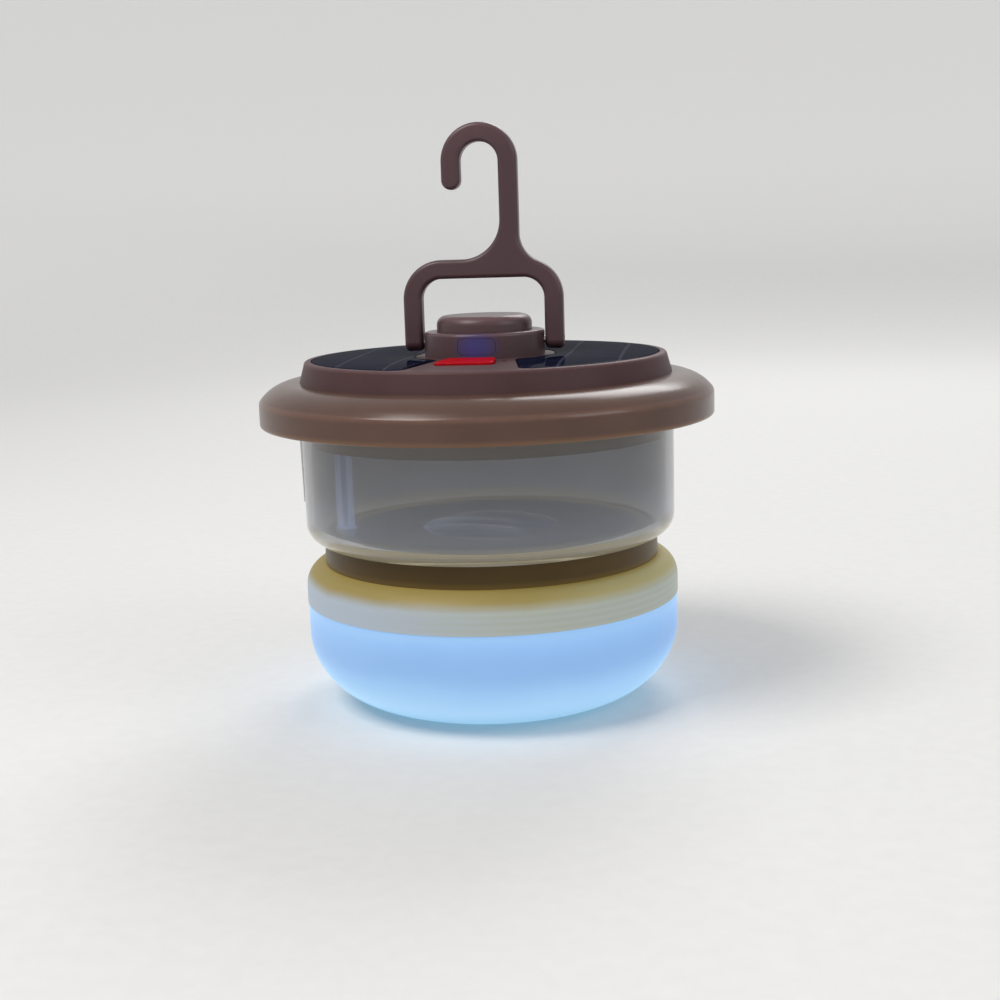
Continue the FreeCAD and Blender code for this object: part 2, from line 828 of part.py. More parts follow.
def red_plate_block(height, grow=0.0):
    """Tapered plate on the land, wider toward the rim."""
    z = z_deck_top - red_plate_recess
    back = red_plate_back_y + grow
    front = red_plate_back_y - red_plate_length - grow
    outline = Part.makePolygon([
        vec(red_plate_x - red_plate_back_half - grow, back, z),
        vec(red_plate_x - red_plate_front_half - grow, front, z),
        vec(red_plate_x + red_plate_front_half + grow, front, z),
        vec(red_plate_x + red_plate_back_half + grow, back, z),
        vec(red_plate_x - red_plate_back_half - grow, back, z),
    ])
    body = Part.Face(outline).extrude(vec(0, 0, height)).Solids[0]
    return body.makeFillet(red_plate_corner_r + grow, upright_edges(body))


def make_red_plate():
    """Plain red plate with softened upper edges."""
    body = red_plate_block(red_plate_thickness)
    top = edges_at(body, z_deck_top - red_plate_recess + red_plate_thickness)
    return tidy(body.makeFillet((red_plate_thickness - red_plate_recess) / 2, top))


panel_lead_points = [(side * panel_lead_x, panel_lead_y) for side in (-1, 1)]


def make_deck():
    """Lid with a foot, pockets for the panels, the hub's hole and screw bosses."""
    z_foot = z_ledge - deck_spigot_height
    body = turned(
        (hub_spigot_r + fit, z_deck_top),
        (deck_top_r - deck_edge_round, z_deck_top),
        ("quarter", deck_top_r, z_deck_top, deck_top_r, z_deck_top - deck_edge_round),
        (deck_foot_r, z_ledge),
        (deck_spigot_r, z_ledge),
        (deck_spigot_r, z_foot),
        (deck_inner_r, z_foot),
        (deck_inner_r, z_deck_under),
        (hub_spigot_r + fit, z_deck_under),
    )
    for x, y in cover_screw_points:
        body = body.fuse(disc(pillar_r, z_pillar_top, z_deck_under, x, y))
    for x, y in cover_screw_points:
        z_hole = z_plate + cover_screw[1] + fit + cover_screw_length + fit
        body = body.cut(disc(cover_screw[2] + screw_fit, z_pillar_top, z_hole, x, y))
    body = body.cut(seal_groove(ledge_inner_r, z_ledge - deck_spigot_height / 2))
    for side in (-1, 1):
        body = body.cut(panel_block(side, panel_thickness, fit))
    body = body.cut(red_plate_block(red_plate_thickness, fit))
    body = body.cut(disc(pinhole_r, z_deck_top - pinhole_depth, z_deck_top, pinhole_x, pinhole_y))
    for x, y in panel_lead_points:
        body = body.cut(disc(lead_spacing + lead_r, z_deck_under, z_panel, x, y))
    return tidy(body)


# Hub, button and switch

z_window = z_deck_top + window_rise


def window_block(depth, grow=0.0):
    """Curved window in the front of the hub."""
    half_x = window_width / 2 + grow
    tall = window_height + 2 * grow
    body = block(-half_x, half_x, -2 * hub_r, 0, z_window - grow, z_window - grow + tall)
    lengthwise = [e for e in body.Edges if abs(e.tangentAt(e.FirstParameter).y) > 0.999]
    body = body.makeFillet(window_corner_r + grow, lengthwise)
    return body.common(ring(hub_r, hub_r - depth, z_deck_top, z_hub_top))


def make_hub():
    """Round turret with a lip over the button, pin holes at its sides and a window in front."""
    z_lip_under = z_hub_top - hub_lip
    body = turned(
        (lip_bore_r, z_hub_top),
        (hub_r - hub_edge_round, z_hub_top),
        ("quarter", hub_r, z_hub_top, hub_r, z_hub_top - hub_edge_round),
        (hub_r, z_deck_top),
        (hub_spigot_r, z_deck_top),
        (hub_spigot_r, z_spigot_end),
        (hub_bore_r, z_spigot_end),
        (hub_bore_r, z_lip_under),
        (lip_bore_r, z_lip_under),
    )
    hole = Part.makeCylinder(pin_r + screw_fit, 2 * hub_r, vec(-hub_r, 0, z_pivot), ACROSS)
    return tidy(body.cut(hole).cut(window_block(window_depth, fit)))


def make_ring_nut():
    """Ring nut with spanner notches and a lip under the switch board."""
    bore_r = hub_spigot_r + fit
    body = ring(nut_r, bore_r, z_nut, z_deck_under)
    body = body.fuse(ring(bore_r, nut_lip_inner_r, z_nut, z_switch_board))
    notch = block(nut_r - nut_notch_depth, nut_r, -nut_notch_width / 2, nut_notch_width / 2,
                  z_nut, z_deck_under)
    for i in range(nut_notch_count):
        body = body.cut(spun(notch, 360.0 * i / nut_notch_count))
    return tidy(body)


def make_switch_board():
    """Small round board under the button."""
    return disc(hub_spigot_r, z_switch_board, z_spigot_end)


def make_tact_switch():
    """Square switch with a bore for its plunger."""
    size_x, size_y, size_z = switch_size
    body = block(-size_x / 2, size_x / 2, -size_y / 2, size_y / 2, z_spigot_end, z_switch_top)
    z_bore = z_switch_top - plunger_insert - button_travel - button_seat_gap
    return body.cut(disc(plunger_r + running_fit, z_bore, z_switch_top))


def make_plunger():
    """Plunger that the button's stem presses."""
    return disc(plunger_r, z_switch_top - plunger_insert, z_plunger_top)


def make_status_led():
    """Diode behind the status window."""
    size_x, size_y, size_z = status_led_size
    y = status_led_y
    return block(-size_x / 2, size_x / 2, y - size_y / 2, y + size_y / 2, z_spigot_end, z_spigot_end + size_z)


def make_button():
    """Hollow cap with a flange that keeps it in the hub and a stem over the switch."""
    inner_r = button_r - button_wall
    flange_r = button_r + button_flange_reach
    z_under = z_button_top - button_top_wall
    return turned(
        (0, z_button_top),
        (button_r - button_edge_round, z_button_top),
        ("quarter", button_r, z_button_top, button_r, z_button_top - button_edge_round),
        (button_r, z_flange_top),
        (flange_r, z_flange_top),
        (flange_r, z_flange),
        (inner_r, z_flange),
        (inner_r, z_under),
        (button_stem_r, z_under),
        (button_stem_r, z_plunger_top),
        (0, z_plunger_top),
    )


# Hook

z_bail_inner = z_pivot + bail_inner_rise
z_bail_outer = z_bail_inner + hook_bar
z_arch = z_pivot + arch_rise


def round_face(x, z, r):
    """Round face in the upright XZ plane."""
    return Part.Face(Part.Wire([Part.Circle(vec(x, 0, z), vec(0, 1, 0), r).toShape()]))


def arched_face(half, top, round_r):
    """Upright strip with its two upper corners rounded, down to the pivot level."""
    low = top - round_r
    edges = [
        Part.LineSegment(vec(-half, 0, z_pivot), vec(-half, 0, low)).toShape(),
        quarter(vec(-half, 0, low), vec(-half, 0, top), vec(-half + round_r, 0, top)),
        Part.LineSegment(vec(-half + round_r, 0, top), vec(half - round_r, 0, top)).toShape(),
        quarter(vec(half - round_r, 0, top), vec(half, 0, top), vec(half, 0, low)),
        Part.LineSegment(vec(half, 0, low), vec(half, 0, z_pivot)).toShape(),
        Part.LineSegment(vec(half, 0, z_pivot), vec(-half, 0, z_pivot)).toShape(),
    ]
    return Part.Face(Part.Wire(edges))


def left_flare():
    """Hollow corner between the bail's top and the stem's left side."""
    edge = stem_x - hook_bar / 2
    corner = flat([
        (edge - flare_left_r, z_bail_outer),
        (edge, z_bail_outer),
        (edge, z_bail_outer + flare_left_r),
        (edge - flare_left_r, z_bail_outer + flare_left_r),
    ])
    return corner.cut(round_face(edge - flare_left_r, z_bail_outer + flare_left_r, flare_left_r))


def right_flare():
    """Hollow corner between the stem's right side and the bail's round corner."""
    edge = stem_x + hook_bar / 2
    round_x = leg_outer - bail_outer_round
    round_z = z_bail_outer - bail_outer_round
    centre_x = edge + flare_right_r
    reach = bail_outer_round + flare_right_r
    centre_z = round_z + math.sqrt(reach ** 2 - (centre_x - round_x) ** 2)
    share = bail_outer_round / reach
    touch_x = round_x + (centre_x - round_x) * share
    touch_z = round_z + (centre_z - round_z) * share
    corner = flat([
        (edge, centre_z),
        (centre_x, centre_z),
        (touch_x, touch_z),
        (edge, z_bail_inner),
    ])
    return corner.cut(round_face(centre_x, centre_z, flare_right_r))


def make_hook():
    """Bail with pivot eyes, a flared stem off to one side and an open hook on top."""
    half_bar = hook_bar / 2
    arch_inner = stem_x - half_bar
    arch_outer = stem_x + half_bar
    bail = arched_face(leg_outer, z_bail_outer, bail_outer_round)
    bail = bail.cut(arched_face(hook_leg_inner, z_bail_inner, bail_inner_round))
    stem = flat([
        (arch_inner, z_bail_inner + half_bar),
        (arch_outer, z_bail_inner + half_bar),
        (arch_outer, z_arch),
        (arch_inner, z_arch),
    ])
    upper = flat([
        (-arch_outer, z_arch),
        (arch_outer, z_arch),
        (arch_outer, z_arch + arch_outer),
        (-arch_outer, z_arch + arch_outer),
    ])
    arch = round_face(0, z_arch, arch_outer).cut(round_face(0, z_arch, arch_inner)).common(upper)
    z_tip = z_arch - tip_drop
    tip = flat([(-arch_outer, z_tip), (-arch_inner, z_tip), (-arch_inner, z_arch), (-arch_outer, z_arch)])
    tip_end = round_face(-stem_x, z_tip, half_bar)
    whole = upright_plate(bail, hook_thickness)
    for face in (stem, left_flare(), right_flare(), arch, tip, tip_end):
        whole = whole.fuse(upright_plate(face, hook_thickness))
    half = hook_thickness / 2
    for side in (-1, 1):
        foot = vec(side * hook_leg_inner, 0, z_pivot)
        whole = whole.fuse(Part.makeCylinder(half, hook_bar, foot, vec(side, 0, 0)))
    whole = whole.removeSplitter().Solids[0]
    faces = [f for f in whole.Faces if abs(abs(f.CenterOfMass.y) - half) < 1e-4]
    rims = [e for f in faces for e in f.Edges if e.BoundBox.ZMax > z_pivot + 1e-3]
    whole = whole.makeFillet(hook_edge_round, rims)
    hole = Part.makeCylinder(pin_r + running_fit, 2 * leg_outer, vec(-leg_outer, 0, z_pivot), ACROSS)
    return tidy(whole.cut(hole))


def make_hook_pins():
    """Two short pins from the hub's sides out into the hook's eyes."""
    start = hub_r - pin_seat
    length = leg_outer - fit - start
    return group([
        Part.makeCylinder(pin_r, length, vec(side * start, 0, z_pivot), vec(side, 0, 0)) for side in (-1, 1)
    ])


# Electronics in the top housing


def make_main_board():
    """Board with a tongue that carries the socket to the port."""
    body = block(-board_half_width, board_half_width, board_front_y, board_back_y, z_board, z_board_top)
    half = tongue_half_width
    body = body.fuse(block(-half, half, board_front_y, tongue_back_y, z_board, z_board_top))
    half = socket_size[0] / 2 + fit
    body = body.cut(block(-half, half, socket_back_y - fit, tongue_back_y, z_board, z_board_top))
    for x, y in board_screw_points:
        body = body.cut(disc(board_screw[2] + fit, z_board, z_board_top, x, y))
    return tidy(body)


def make_usb_socket():
    """Metal socket shell with a cavity and a contact tongue."""
    size_x, size_y, size_z = socket_size
    front_y = socket_back_y + size_y
    body = port_box(size_x, size_z, socket_back_y, front_y)
    root_y = socket_back_y + socket_back
    cavity = port_box(size_x - 2 * socket_wall, size_z - 2 * socket_wall, root_y, front_y)
    tongue_x, tongue_y, tongue_z = socket_tongue
    return tidy(body.cut(cavity).fuse(port_box(tongue_x, tongue_z, root_y, root_y + tongue_y)))


def make_board_chips():
    """Charger, coil and capacitors on the main board."""
    chips = []
    for x, y, size_x, size_y, size_z in board_chip_list:
        chips.append(block(x - size_x / 2, x + size_x / 2, y - size_y / 2, y + size_y / 2,
                           z_board_top, z_board_top + size_z))
    return group(chips)


def make_cell():
    """Flat cell with soft edges."""
    half = cell_half_width
    body = block(-half, half, cell_back_y - cell_length, cell_back_y, z_cell, z_cell_top)
    return body.makeFillet(cell_edge_round, upright_edges(body) + edges_at(body, z_cell_top))


def make_cell_pad():
    """Adhesive pad under the cell."""
    half = cell_half_width - pad_margin
    front = cell_back_y - cell_length + pad_margin
    return block(-half, half, front, cell_back_y - pad_margin, z_plate_top, z_cell)


z_lead = z_board_top + lead_r + groove_play
half_spacing = lead_spacing / 2


def make_led_leads():
    """Two leads from the main board, down the duct, to the lamp board."""
    pair = []
    for shift in (-half_spacing, half_spacing):
        z_end = z_led_board_top + lead_r + groove_play
        pair.append(lead([
            vec(led_lead_x, led_lead_y + shift, z_lead),
            duct_point(z_lead, -shift),
            duct_point(z_end, -shift),
            duct_point(z_end, -shift, duct_circle_r - lead_run),
        ]))
    return group(pair)


def make_battery_leads():
    """Two leads from the back of the cell to the main board."""
    pair = []
    z_tab = (z_cell + z_cell_top) / 2
    for shift in (-half_spacing, half_spacing):
        x = battery_lead_x + shift
        pair.append(lead([
            vec(x, cell_back_y, z_tab),
            vec(x, cell_back_y + 2 * lead_run, z_tab),
            vec(x, board_front_y - lead_run, z_lead),
            vec(x, board_front_y + lead_run, z_lead),
        ]))
    return group(pair)


def make_panel_leads():
    """Leads from each panel through the deck to the main board."""
    wires = []
    for x, y in panel_lead_points:
        for shift in (-half_spacing, half_spacing):
            wires.append(lead([
                vec(x, y + shift, z_panel),
                vec(x, y + shift, z_lead),
                vec(math.copysign(panel_lead_end_x, x), panel_lead_end_y + shift, z_lead),
            ]))
    return group(wires)


def make_switch_leads():
    """Leads from the switch board down to the main board."""
    wires = []
    for shift in (-half_spacing, half_spacing):
        wires.append(lead([
            vec(shift, switch_lead_y, z_switch_board),
            vec(shift, switch_lead_y, z_lead),
            vec(shift, board_front_y + lead_run, z_lead),
        ]))
    return group(wires)


def make_screws(sizes, length, points, z, upward):
    """Set of equal screws."""
    return group([screw(sizes, length, x, y, z, upward) for x, y in points])


nodes = {
    "dome_diffuser": make_dome(),
    "dome_seal": seal_ring(collar_inner_r, z_dome_seal),
    "lamp_collar": make_collar(),
    "led_board": make_led_board(),
    "led_chips": make_led_chips(),
    "led_board_screws": make_screws(led_screw, led_screw_length, led_screw_points, z_led_board, True),
    "neck_ring": make_neck_ring(),
    "neck_screws": make_screws(neck_screw, neck_screw_length, neck_screw_points, z_collar_under, True),
    "clear_shell": make_clear_shell(),
    "wire_duct": make_wire_duct(),
    "shell_seal": make_shell_seal(),
    "base_plate": make_base_plate(),
    "cover_screws": make_screws(cover_screw, cover_screw_length, cover_screw_points,
                                z_plate + cover_screw[1] + fit, True),
    "brim": make_brim(),
    "deck_seal": seal_ring(ledge_inner_r, z_ledge - deck_spigot_height / 2),
    "deck": make_deck(),
    "solar_panel_left": make_panel(-1),
    "solar_panel_right": make_panel(1),
    "red_plate": make_red_plate(),
    "hub": make_hub(),
    "hub_ring_nut": make_ring_nut(),
    "status_window": tidy(window_block(window_depth)),
    "status_led": make_status_led(),
    "switch_board": make_switch_board(),
    "tact_switch": make_tact_switch(),
    "switch_plunger": make_plunger(),
    "push_button": make_button(),
    "hook": make_hook(),
    "hook_pins": make_hook_pins(),
    "main_board": make_main_board(),
    "board_screws": make_screws(board_screw, board_screw_length + board_thickness, board_screw_points,
                                z_board_top, False),
    "board_chips": make_board_chips(),
    "usb_socket": make_usb_socket(),
    "port_cover": make_port_cover(),
    "battery_cell": make_cell(),
    "battery_pad": make_cell_pad(),
    "led_leads": make_led_leads(),
    "battery_leads": make_battery_leads(),
    "panel_leads": make_panel_leads(),
    "switch_leads": make_switch_leads(),
}

os.makedirs("parts", exist_ok=True)
for name, shape in nodes.items():
    shape.exportStep("parts/" + name + ".step")
    print(name, len(shape.Solids), "valid" if shape.isValid() else "INVALID", round(shape.Volume, 1))
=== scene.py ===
# %% [markdown]
# # A camping lantern, dressed for its portrait
# The solid model already gives every piece its shape, size and place.
# This lesson loads those pieces as a fixed frame and gives each one the surface that the real lantern has.
# The lamp is lit, so part of the work is to let light glow through plastic without burning out.

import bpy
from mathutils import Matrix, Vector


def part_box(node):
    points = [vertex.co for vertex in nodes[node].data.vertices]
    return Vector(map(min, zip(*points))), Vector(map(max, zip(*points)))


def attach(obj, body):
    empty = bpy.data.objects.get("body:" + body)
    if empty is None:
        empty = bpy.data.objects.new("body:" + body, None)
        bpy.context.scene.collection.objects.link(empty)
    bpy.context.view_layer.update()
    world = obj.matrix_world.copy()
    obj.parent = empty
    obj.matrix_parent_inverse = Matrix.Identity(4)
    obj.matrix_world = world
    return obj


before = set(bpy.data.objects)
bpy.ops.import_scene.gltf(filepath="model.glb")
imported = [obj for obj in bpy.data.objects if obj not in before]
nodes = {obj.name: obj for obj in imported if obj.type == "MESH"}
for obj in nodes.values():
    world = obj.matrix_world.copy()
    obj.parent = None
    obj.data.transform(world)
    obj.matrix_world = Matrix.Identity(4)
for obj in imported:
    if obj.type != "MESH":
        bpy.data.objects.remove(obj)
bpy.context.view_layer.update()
print("pieces in the frame:", len(nodes))

# %% [markdown]
# ## Tools for the lesson
# A surface here is a grid of points from two parameters, worked out as whole arrays.
# One helper turns such a grid into a mesh, closing it where its rows or columns meet.
# Where a whole row shrinks to one point, as at the tip of a bead, that point is welded into a pole.

# %% Helpers for surfaces
import math

import bmesh
import bpy
import numpy as np

MM = 0.001
SAME_POINT = 0.0001 * MM


def grid_faces(rows, columns, close_rows, close_columns):
    """Quads that join each grid point to the next one along and the next one across."""
    row = np.arange(rows if close_rows else rows - 1)
    column = np.arange(columns if close_columns else columns - 1)
    r, c = np.meshgrid(row, column, indexing="ij")
    next_r = (r + 1) % rows
    next_c = (c + 1) % columns
    corners = [r * columns + c, r * columns + next_c, next_r * columns + next_c, next_r * columns + c]
    return np.stack([x.ravel() for x in corners], axis=1)


def surface(name, grids, close_rows=False, close_columns=False):
    """One mesh object from grids of points in metres, each of the shape rows by columns by three."""
    points, faces, start = [], [], 0
    for grid in grids:
        rows, columns = grid.shape[:2]
        points.append(grid.reshape(-1, 3))
        faces.append(grid_faces(rows, columns, close_rows, close_columns) + start)
        start += rows * columns
    mesh = bpy.data.meshes.new(name)
    mesh.from_pydata(np.concatenate(points), [], np.concatenate(faces))
    welded = bmesh.new()
    welded.from_mesh(mesh)
    bmesh.ops.remove_doubles(welded, verts=welded.verts, dist=SAME_POINT)
    welded.to_mesh(mesh)
    welded.free()
    mesh.polygons.foreach_set("use_smooth", np.ones(len(mesh.polygons), dtype=bool))
    made = bpy.data.objects.new(name, mesh)
    bpy.context.scene.collection.objects.link(made)
    print(name, "has", len(mesh.polygons), "faces")
    return made


# %% [markdown]
# ## Tools for finishes
# Every finish is a small tree of shader nodes around one Principled shader.
# Painted pictures could do the same, but nodes stay sharp from close by and need no unwrapping.
# Patterns read Object coordinates, which are metres in the lantern's own frame,
# so the height above the ground and the distance from the axis say where on the lantern a point lies.

# %% Colours


def linear(red, green, blue):
    """Colour in the linear measure that a shader takes, with nothing showing through."""
    return (float(red), float(green), float(blue), 1.0)


def shade(red, green, blue):
    """Screen colour from 0 to 255, made linear by the curve of screens: a straight foot, then a power."""
    screen = np.array([red, green, blue]) / 255.0
    foot = screen / 12.92
    power = ((screen + 0.055) / 1.055) ** 2.4
    return linear(*np.where(screen <= 0.04045, foot, power))


def scaled(colour, share):
    """The same colour, darker or lighter."""
    return linear(*[share * x for x in colour[:3]])


BLACK = linear(0.0, 0.0, 0.0)
print("screen grey 128 is", round(shade(128, 128, 128)[0], 3), "in linear measure")

# %% Arithmetic with nodes


def put(tree, kind, inputs, **settings):
    """Add a node, with its inputs set to values or joined to other nodes' sockets."""
    made = tree.nodes.new("ShaderNode" + kind)
    for key, value in settings.items():
        setattr(made, key, value)
    for key, value in inputs.items():
        if isinstance(value, bpy.types.NodeSocket):
            tree.links.new(value, made.inputs[key])
        else:
            made.inputs[key].default_value = value
    return made.outputs


def calc(tree, operation, first, second=0.0):
    """One step of arithmetic."""
    return put(tree, "Math", {0: first, 1: second}, operation=operation)[0]


def times(tree, first, second):
    """Product of two values."""
    return calc(tree, "MULTIPLY", first, second)


def rise(tree, value, start, end):
    """Goes smoothly from 0 to 1 as the value passes from start to end, whichever of the two is larger."""
    inputs = {"Value": value, "From Min": start, "From Max": end}
    return put(tree, "MapRange", inputs, interpolation_type="SMOOTHSTEP")["Result"]


def spread(tree, value, low, high):
    """Stretches a value from 0 to 1 over another range."""
    return put(tree, "MapRange", {"Value": value, "To Min": low, "To Max": high})["Result"]


def stripe(tree, value, middle, half, soft):
    """1 within half of the middle, and 0 from soft further out."""
    away = calc(tree, "ABSOLUTE", calc(tree, "SUBTRACT", value, middle))
    return rise(tree, away, half + soft, half)


def lines(tree, value, pitch, half, soft):
    """Thin lines, one every pitch."""
    return rise(tree, calc(tree, "PINGPONG", value, pitch / 2), half + soft, half)


def length(tree, first, second):
    """Length of a step with two parts at right angles."""
    squares = calc(tree, "ADD", calc(tree, "POWER", first, 2.0), calc(tree, "POWER", second, 2.0))
    return calc(tree, "SQRT", squares)


# %% Patterns and places


def mix(tree, share, first, second):
    """Colour between two others."""
    return put(tree, "Mix", {0: share, 6: first, 7: second}, data_type="RGBA")[2]


def layered(tree, base, *layers):
    """Colours laid over a base in turn, each as far as its share says."""
    for share, colour in layers:
        base = mix(tree, share, base, colour)
    return base


def noise(tree, where, scale, detail, roughness=0.5):
    """Soft random value between 0 and 1, with scale giving about how many clouds fit in a metre."""
    inputs = {"Vector": where, "Scale": scale, "Detail": detail, "Roughness": roughness}
    return put(tree, "TexNoise", inputs)["Fac"]


def relief(tree, height, depth):
    """Normal of a surface whose height varies by depth metres."""
    return put(tree, "Bump", {"Height": height, "Distance": depth, "Strength": 1.0})["Normal"]


def place(tree):
    """Where a point lies: its vector, its three coordinates and its distance from the axis."""
    where = put(tree, "TexCoord", {})["Object"]
    x, y, z = put(tree, "SeparateXYZ", {"Vector": where})
    return {"at": where, "x": x, "y": y, "z": z, "radius": length(tree, x, y)}


def wavering(tree, spot, cloud, span):
    """Height of a point, raised by up to half the span where a cloud is pale and lowered where it is dark."""
    return calc(tree, "ADD", spot["z"], times(tree, calc(tree, "SUBTRACT", cloud, 0.5), span))


def seen_directly(tree):
    """1 for rays from the camera, from a gloss or through glass, and 0 for the light that falls on things."""
    ray = put(tree, "LightPath", {})
    bent = calc(tree, "MAXIMUM", ray["Is Glossy Ray"], ray["Is Transmission Ray"])
    return calc(tree, "MAXIMUM", ray["Is Camera Ray"], bent)


# %% Materials


def finish(name, **values):
    """New material, with uniform values set on its shader's own sockets."""
    material = bpy.data.materials.new(name)
    material.use_nodes = True
    shader = material.node_tree.nodes["Principled BSDF"]
    for key, value in values.items():
        shader.inputs[key.replace("_", " ")].default_value = value
    return material, material.node_tree, shader.inputs


def join(tree, sockets, **links):
    """Join worked out values to the shader's sockets."""
    for key, value in links.items():
        tree.links.new(value, sockets[key.replace("_", " ")])


def dress(material, *names):
    """Give a finish to pieces of the frame."""
    for name in names:
        nodes[name].data.materials.clear()
        nodes[name].data.materials.append(material)
    print(material.name, "on", ", ".join(names))


# %% [markdown]
# ## Camera
# The photograph looks about 10 degrees down at the lantern from less than 40 centimetres,
# a little from its right, with a slight roll of the hand that held the camera.
# A camera can be aimed by eye, but then the render never quite lies over the photograph.
# So position, heading, pitch and roll were solved from the round edges that show as ellipses.

# %% Camera
camera_place = np.array([57.0, -381.5, 117.1]) * MM
camera_heading = math.radians(-8.13)
camera_pitch = math.radians(10.04)
camera_roll = math.radians(-1.82)
focal_share = 1.56223
sensor_width = 36.0
nearest_seen = 10.0 * MM

forward = np.array([
    math.sin(camera_heading) * math.cos(camera_pitch),
    math.cos(camera_heading) * math.cos(camera_pitch),
    -math.sin(camera_pitch),
])
level_right = np.array([math.cos(camera_heading), -math.sin(camera_heading), 0.0])
level_up = np.cross(level_right, forward)
right = math.cos(camera_roll) * level_right + math.sin(camera_roll) * level_up
up = math.cos(camera_roll) * level_up - math.sin(camera_roll) * level_right


def stand(thing, right, up, back, where):
    """Turn an object so that its own x, y and z point right, up and back, put it at a place and show it."""
    pose = np.eye(4)
    pose[:3, :3] = np.stack([right, up, back], axis=1)
    pose[:3, 3] = where
    thing.matrix_world = pose.T.tolist()
    bpy.context.scene.collection.objects.link(thing)


camera = bpy.data.objects.new("camera", bpy.data.cameras.new("camera"))
camera.data.sensor_width = sensor_width
camera.data.lens = sensor_width * focal_share
camera.data.clip_start = nearest_seen
stand(camera, right, up, -forward, camera_place)
bpy.context.scene.camera = camera
print("lens", round(camera.data.lens, 2), "mm")

# %% [markdown]
# ## Stage and light
# The floor is a wide pale dish: flat in the middle and rising far out, so that no horizon shows.
# A flat plane would do near the lantern, but it ends in a hard line behind it.
# Far from the lamps the dish would turn grey, so there it is lifted for the camera and for reflections only,
# and no extra light falls on the lantern.
# Three large soft lamps and an even sky light the lantern at a plain level.
# The sky, too, looks brighter to the camera and in reflections than it shines.

# %% Stage
lift_from = 0.4
lift_to = 1.9
lift_strength = 0.42


def dish(flat_radius, rim_radius, rim_height, rings, spokes):
    """Height is 0 out to the flat radius, then rises with the square of the way to the rim."""
    outward = np.linspace(0, 1, rings)
    around = np.linspace(2 * np.pi, 0, spokes, endpoint=False)
    along, turn = np.meshgrid(outward, around, indexing="ij")
    radius = rim_radius * along ** 2
    climb = np.clip((radius - flat_radius) / (rim_radius - flat_radius), 0, None)
    return np.stack([radius * np.cos(turn), radius * np.sin(turn), rim_height * climb ** 2], axis=-1)


floor_grid = dish(flat_radius=0.9, rim_radius=4.0, rim_height=2.2, rings=80, spokes=128)
floor = surface("floor", [floor_grid], close_columns=True)
paper, tree, sockets = finish("pale_paper", Roughness=0.85)
spot = place(tree)
fibre = noise(tree, spot["at"], scale=220.0, detail=6.0)
tone = mix(tree, fibre, shade(222, 221, 219), shade(230, 229, 227))
lift = times(tree, rise(tree, spot["radius"], lift_from, lift_to), lift_strength)
lift = times(tree, lift, seen_directly(tree))
join(tree, sockets, Base_Color=tone, Emission_Color=tone, Emission_Strength=lift)
floor.data.materials.append(paper)

# %% Lamps
lantern_middle = np.array([0.0, 0.0, 70.0]) * MM


def soft_lamp(name, where, size, watts, tint):
    """Square lamp that faces the middle of the lantern, with its place and size in metres."""
    light = bpy.data.lights.new(name, "AREA")
    light.size = size
    light.energy = watts
    light.color = tint
    lamp = bpy.data.objects.new(name, light)
    lamp.visible_camera = False
    away = np.array(where) - lantern_middle
    away = away / np.linalg.norm(away)
    side = np.cross([0.0, 0.0, 1.0], away)
    side = side / np.linalg.norm(side)
    stand(lamp, side, np.cross(away, side), away, where)
    print(name, watts, "watts")


soft_lamp("key_lamp", (-0.45, -0.45, 0.90), size=0.50, watts=7.0, tint=(1.0, 0.98, 0.95))
soft_lamp("fill_lamp", (0.90, -0.42, 0.55), size=0.60, watts=2.5, tint=(0.95, 0.97, 1.0))
soft_lamp("back_lamp", (0.15, 0.80, 0.75), size=0.50, watts=4.0, tint=(1.0, 1.0, 1.0))

# %% Sky
sky_shines = 0.42
sky_looks = 0.66

sky = bpy.data.worlds.new("sky")
sky.use_nodes = True
sky_sockets = sky.node_tree.nodes["Background"].inputs
sky_sockets["Color"].default_value = linear(0.95, 0.97, 1.0)
sky_strength = spread(sky.node_tree, seen_directly(sky.node_tree), sky_shines, sky_looks)
join(sky.node_tree, sky_sockets, Strength=sky_strength)
bpy.context.scene.world = sky
bpy.context.scene.view_settings.view_transform = "Standard"
print("sky shines at", sky_shines, "and looks like", sky_looks)

# %% [markdown]
# ## Moulded brown plastic
# The top housing is a dark mauve-brown plastic: glossy on the brim, satin on the deck, the hub and the hook.
# Such plastic is never one colour. It has faint clouds from the melt, a fine tooled grain,
# and paler, smoother places where hands and tables rub its edges.
# Each piece could have a finish of its own, but then they would drift apart.
# So one function makes them all, and takes what differs: the colour, the gloss, the grain, the wear,
# any painted light or painted shade on it and how strongly it mirrors.

# %% Moulded plastic
cloud_dark = 0.90
cloud_pale = 1.05
speck_pale = 1.2
speck_strength = 0.4
rubbed_pale = 1.7
rubbed_smoother = 0.06
haze_span = 0.05


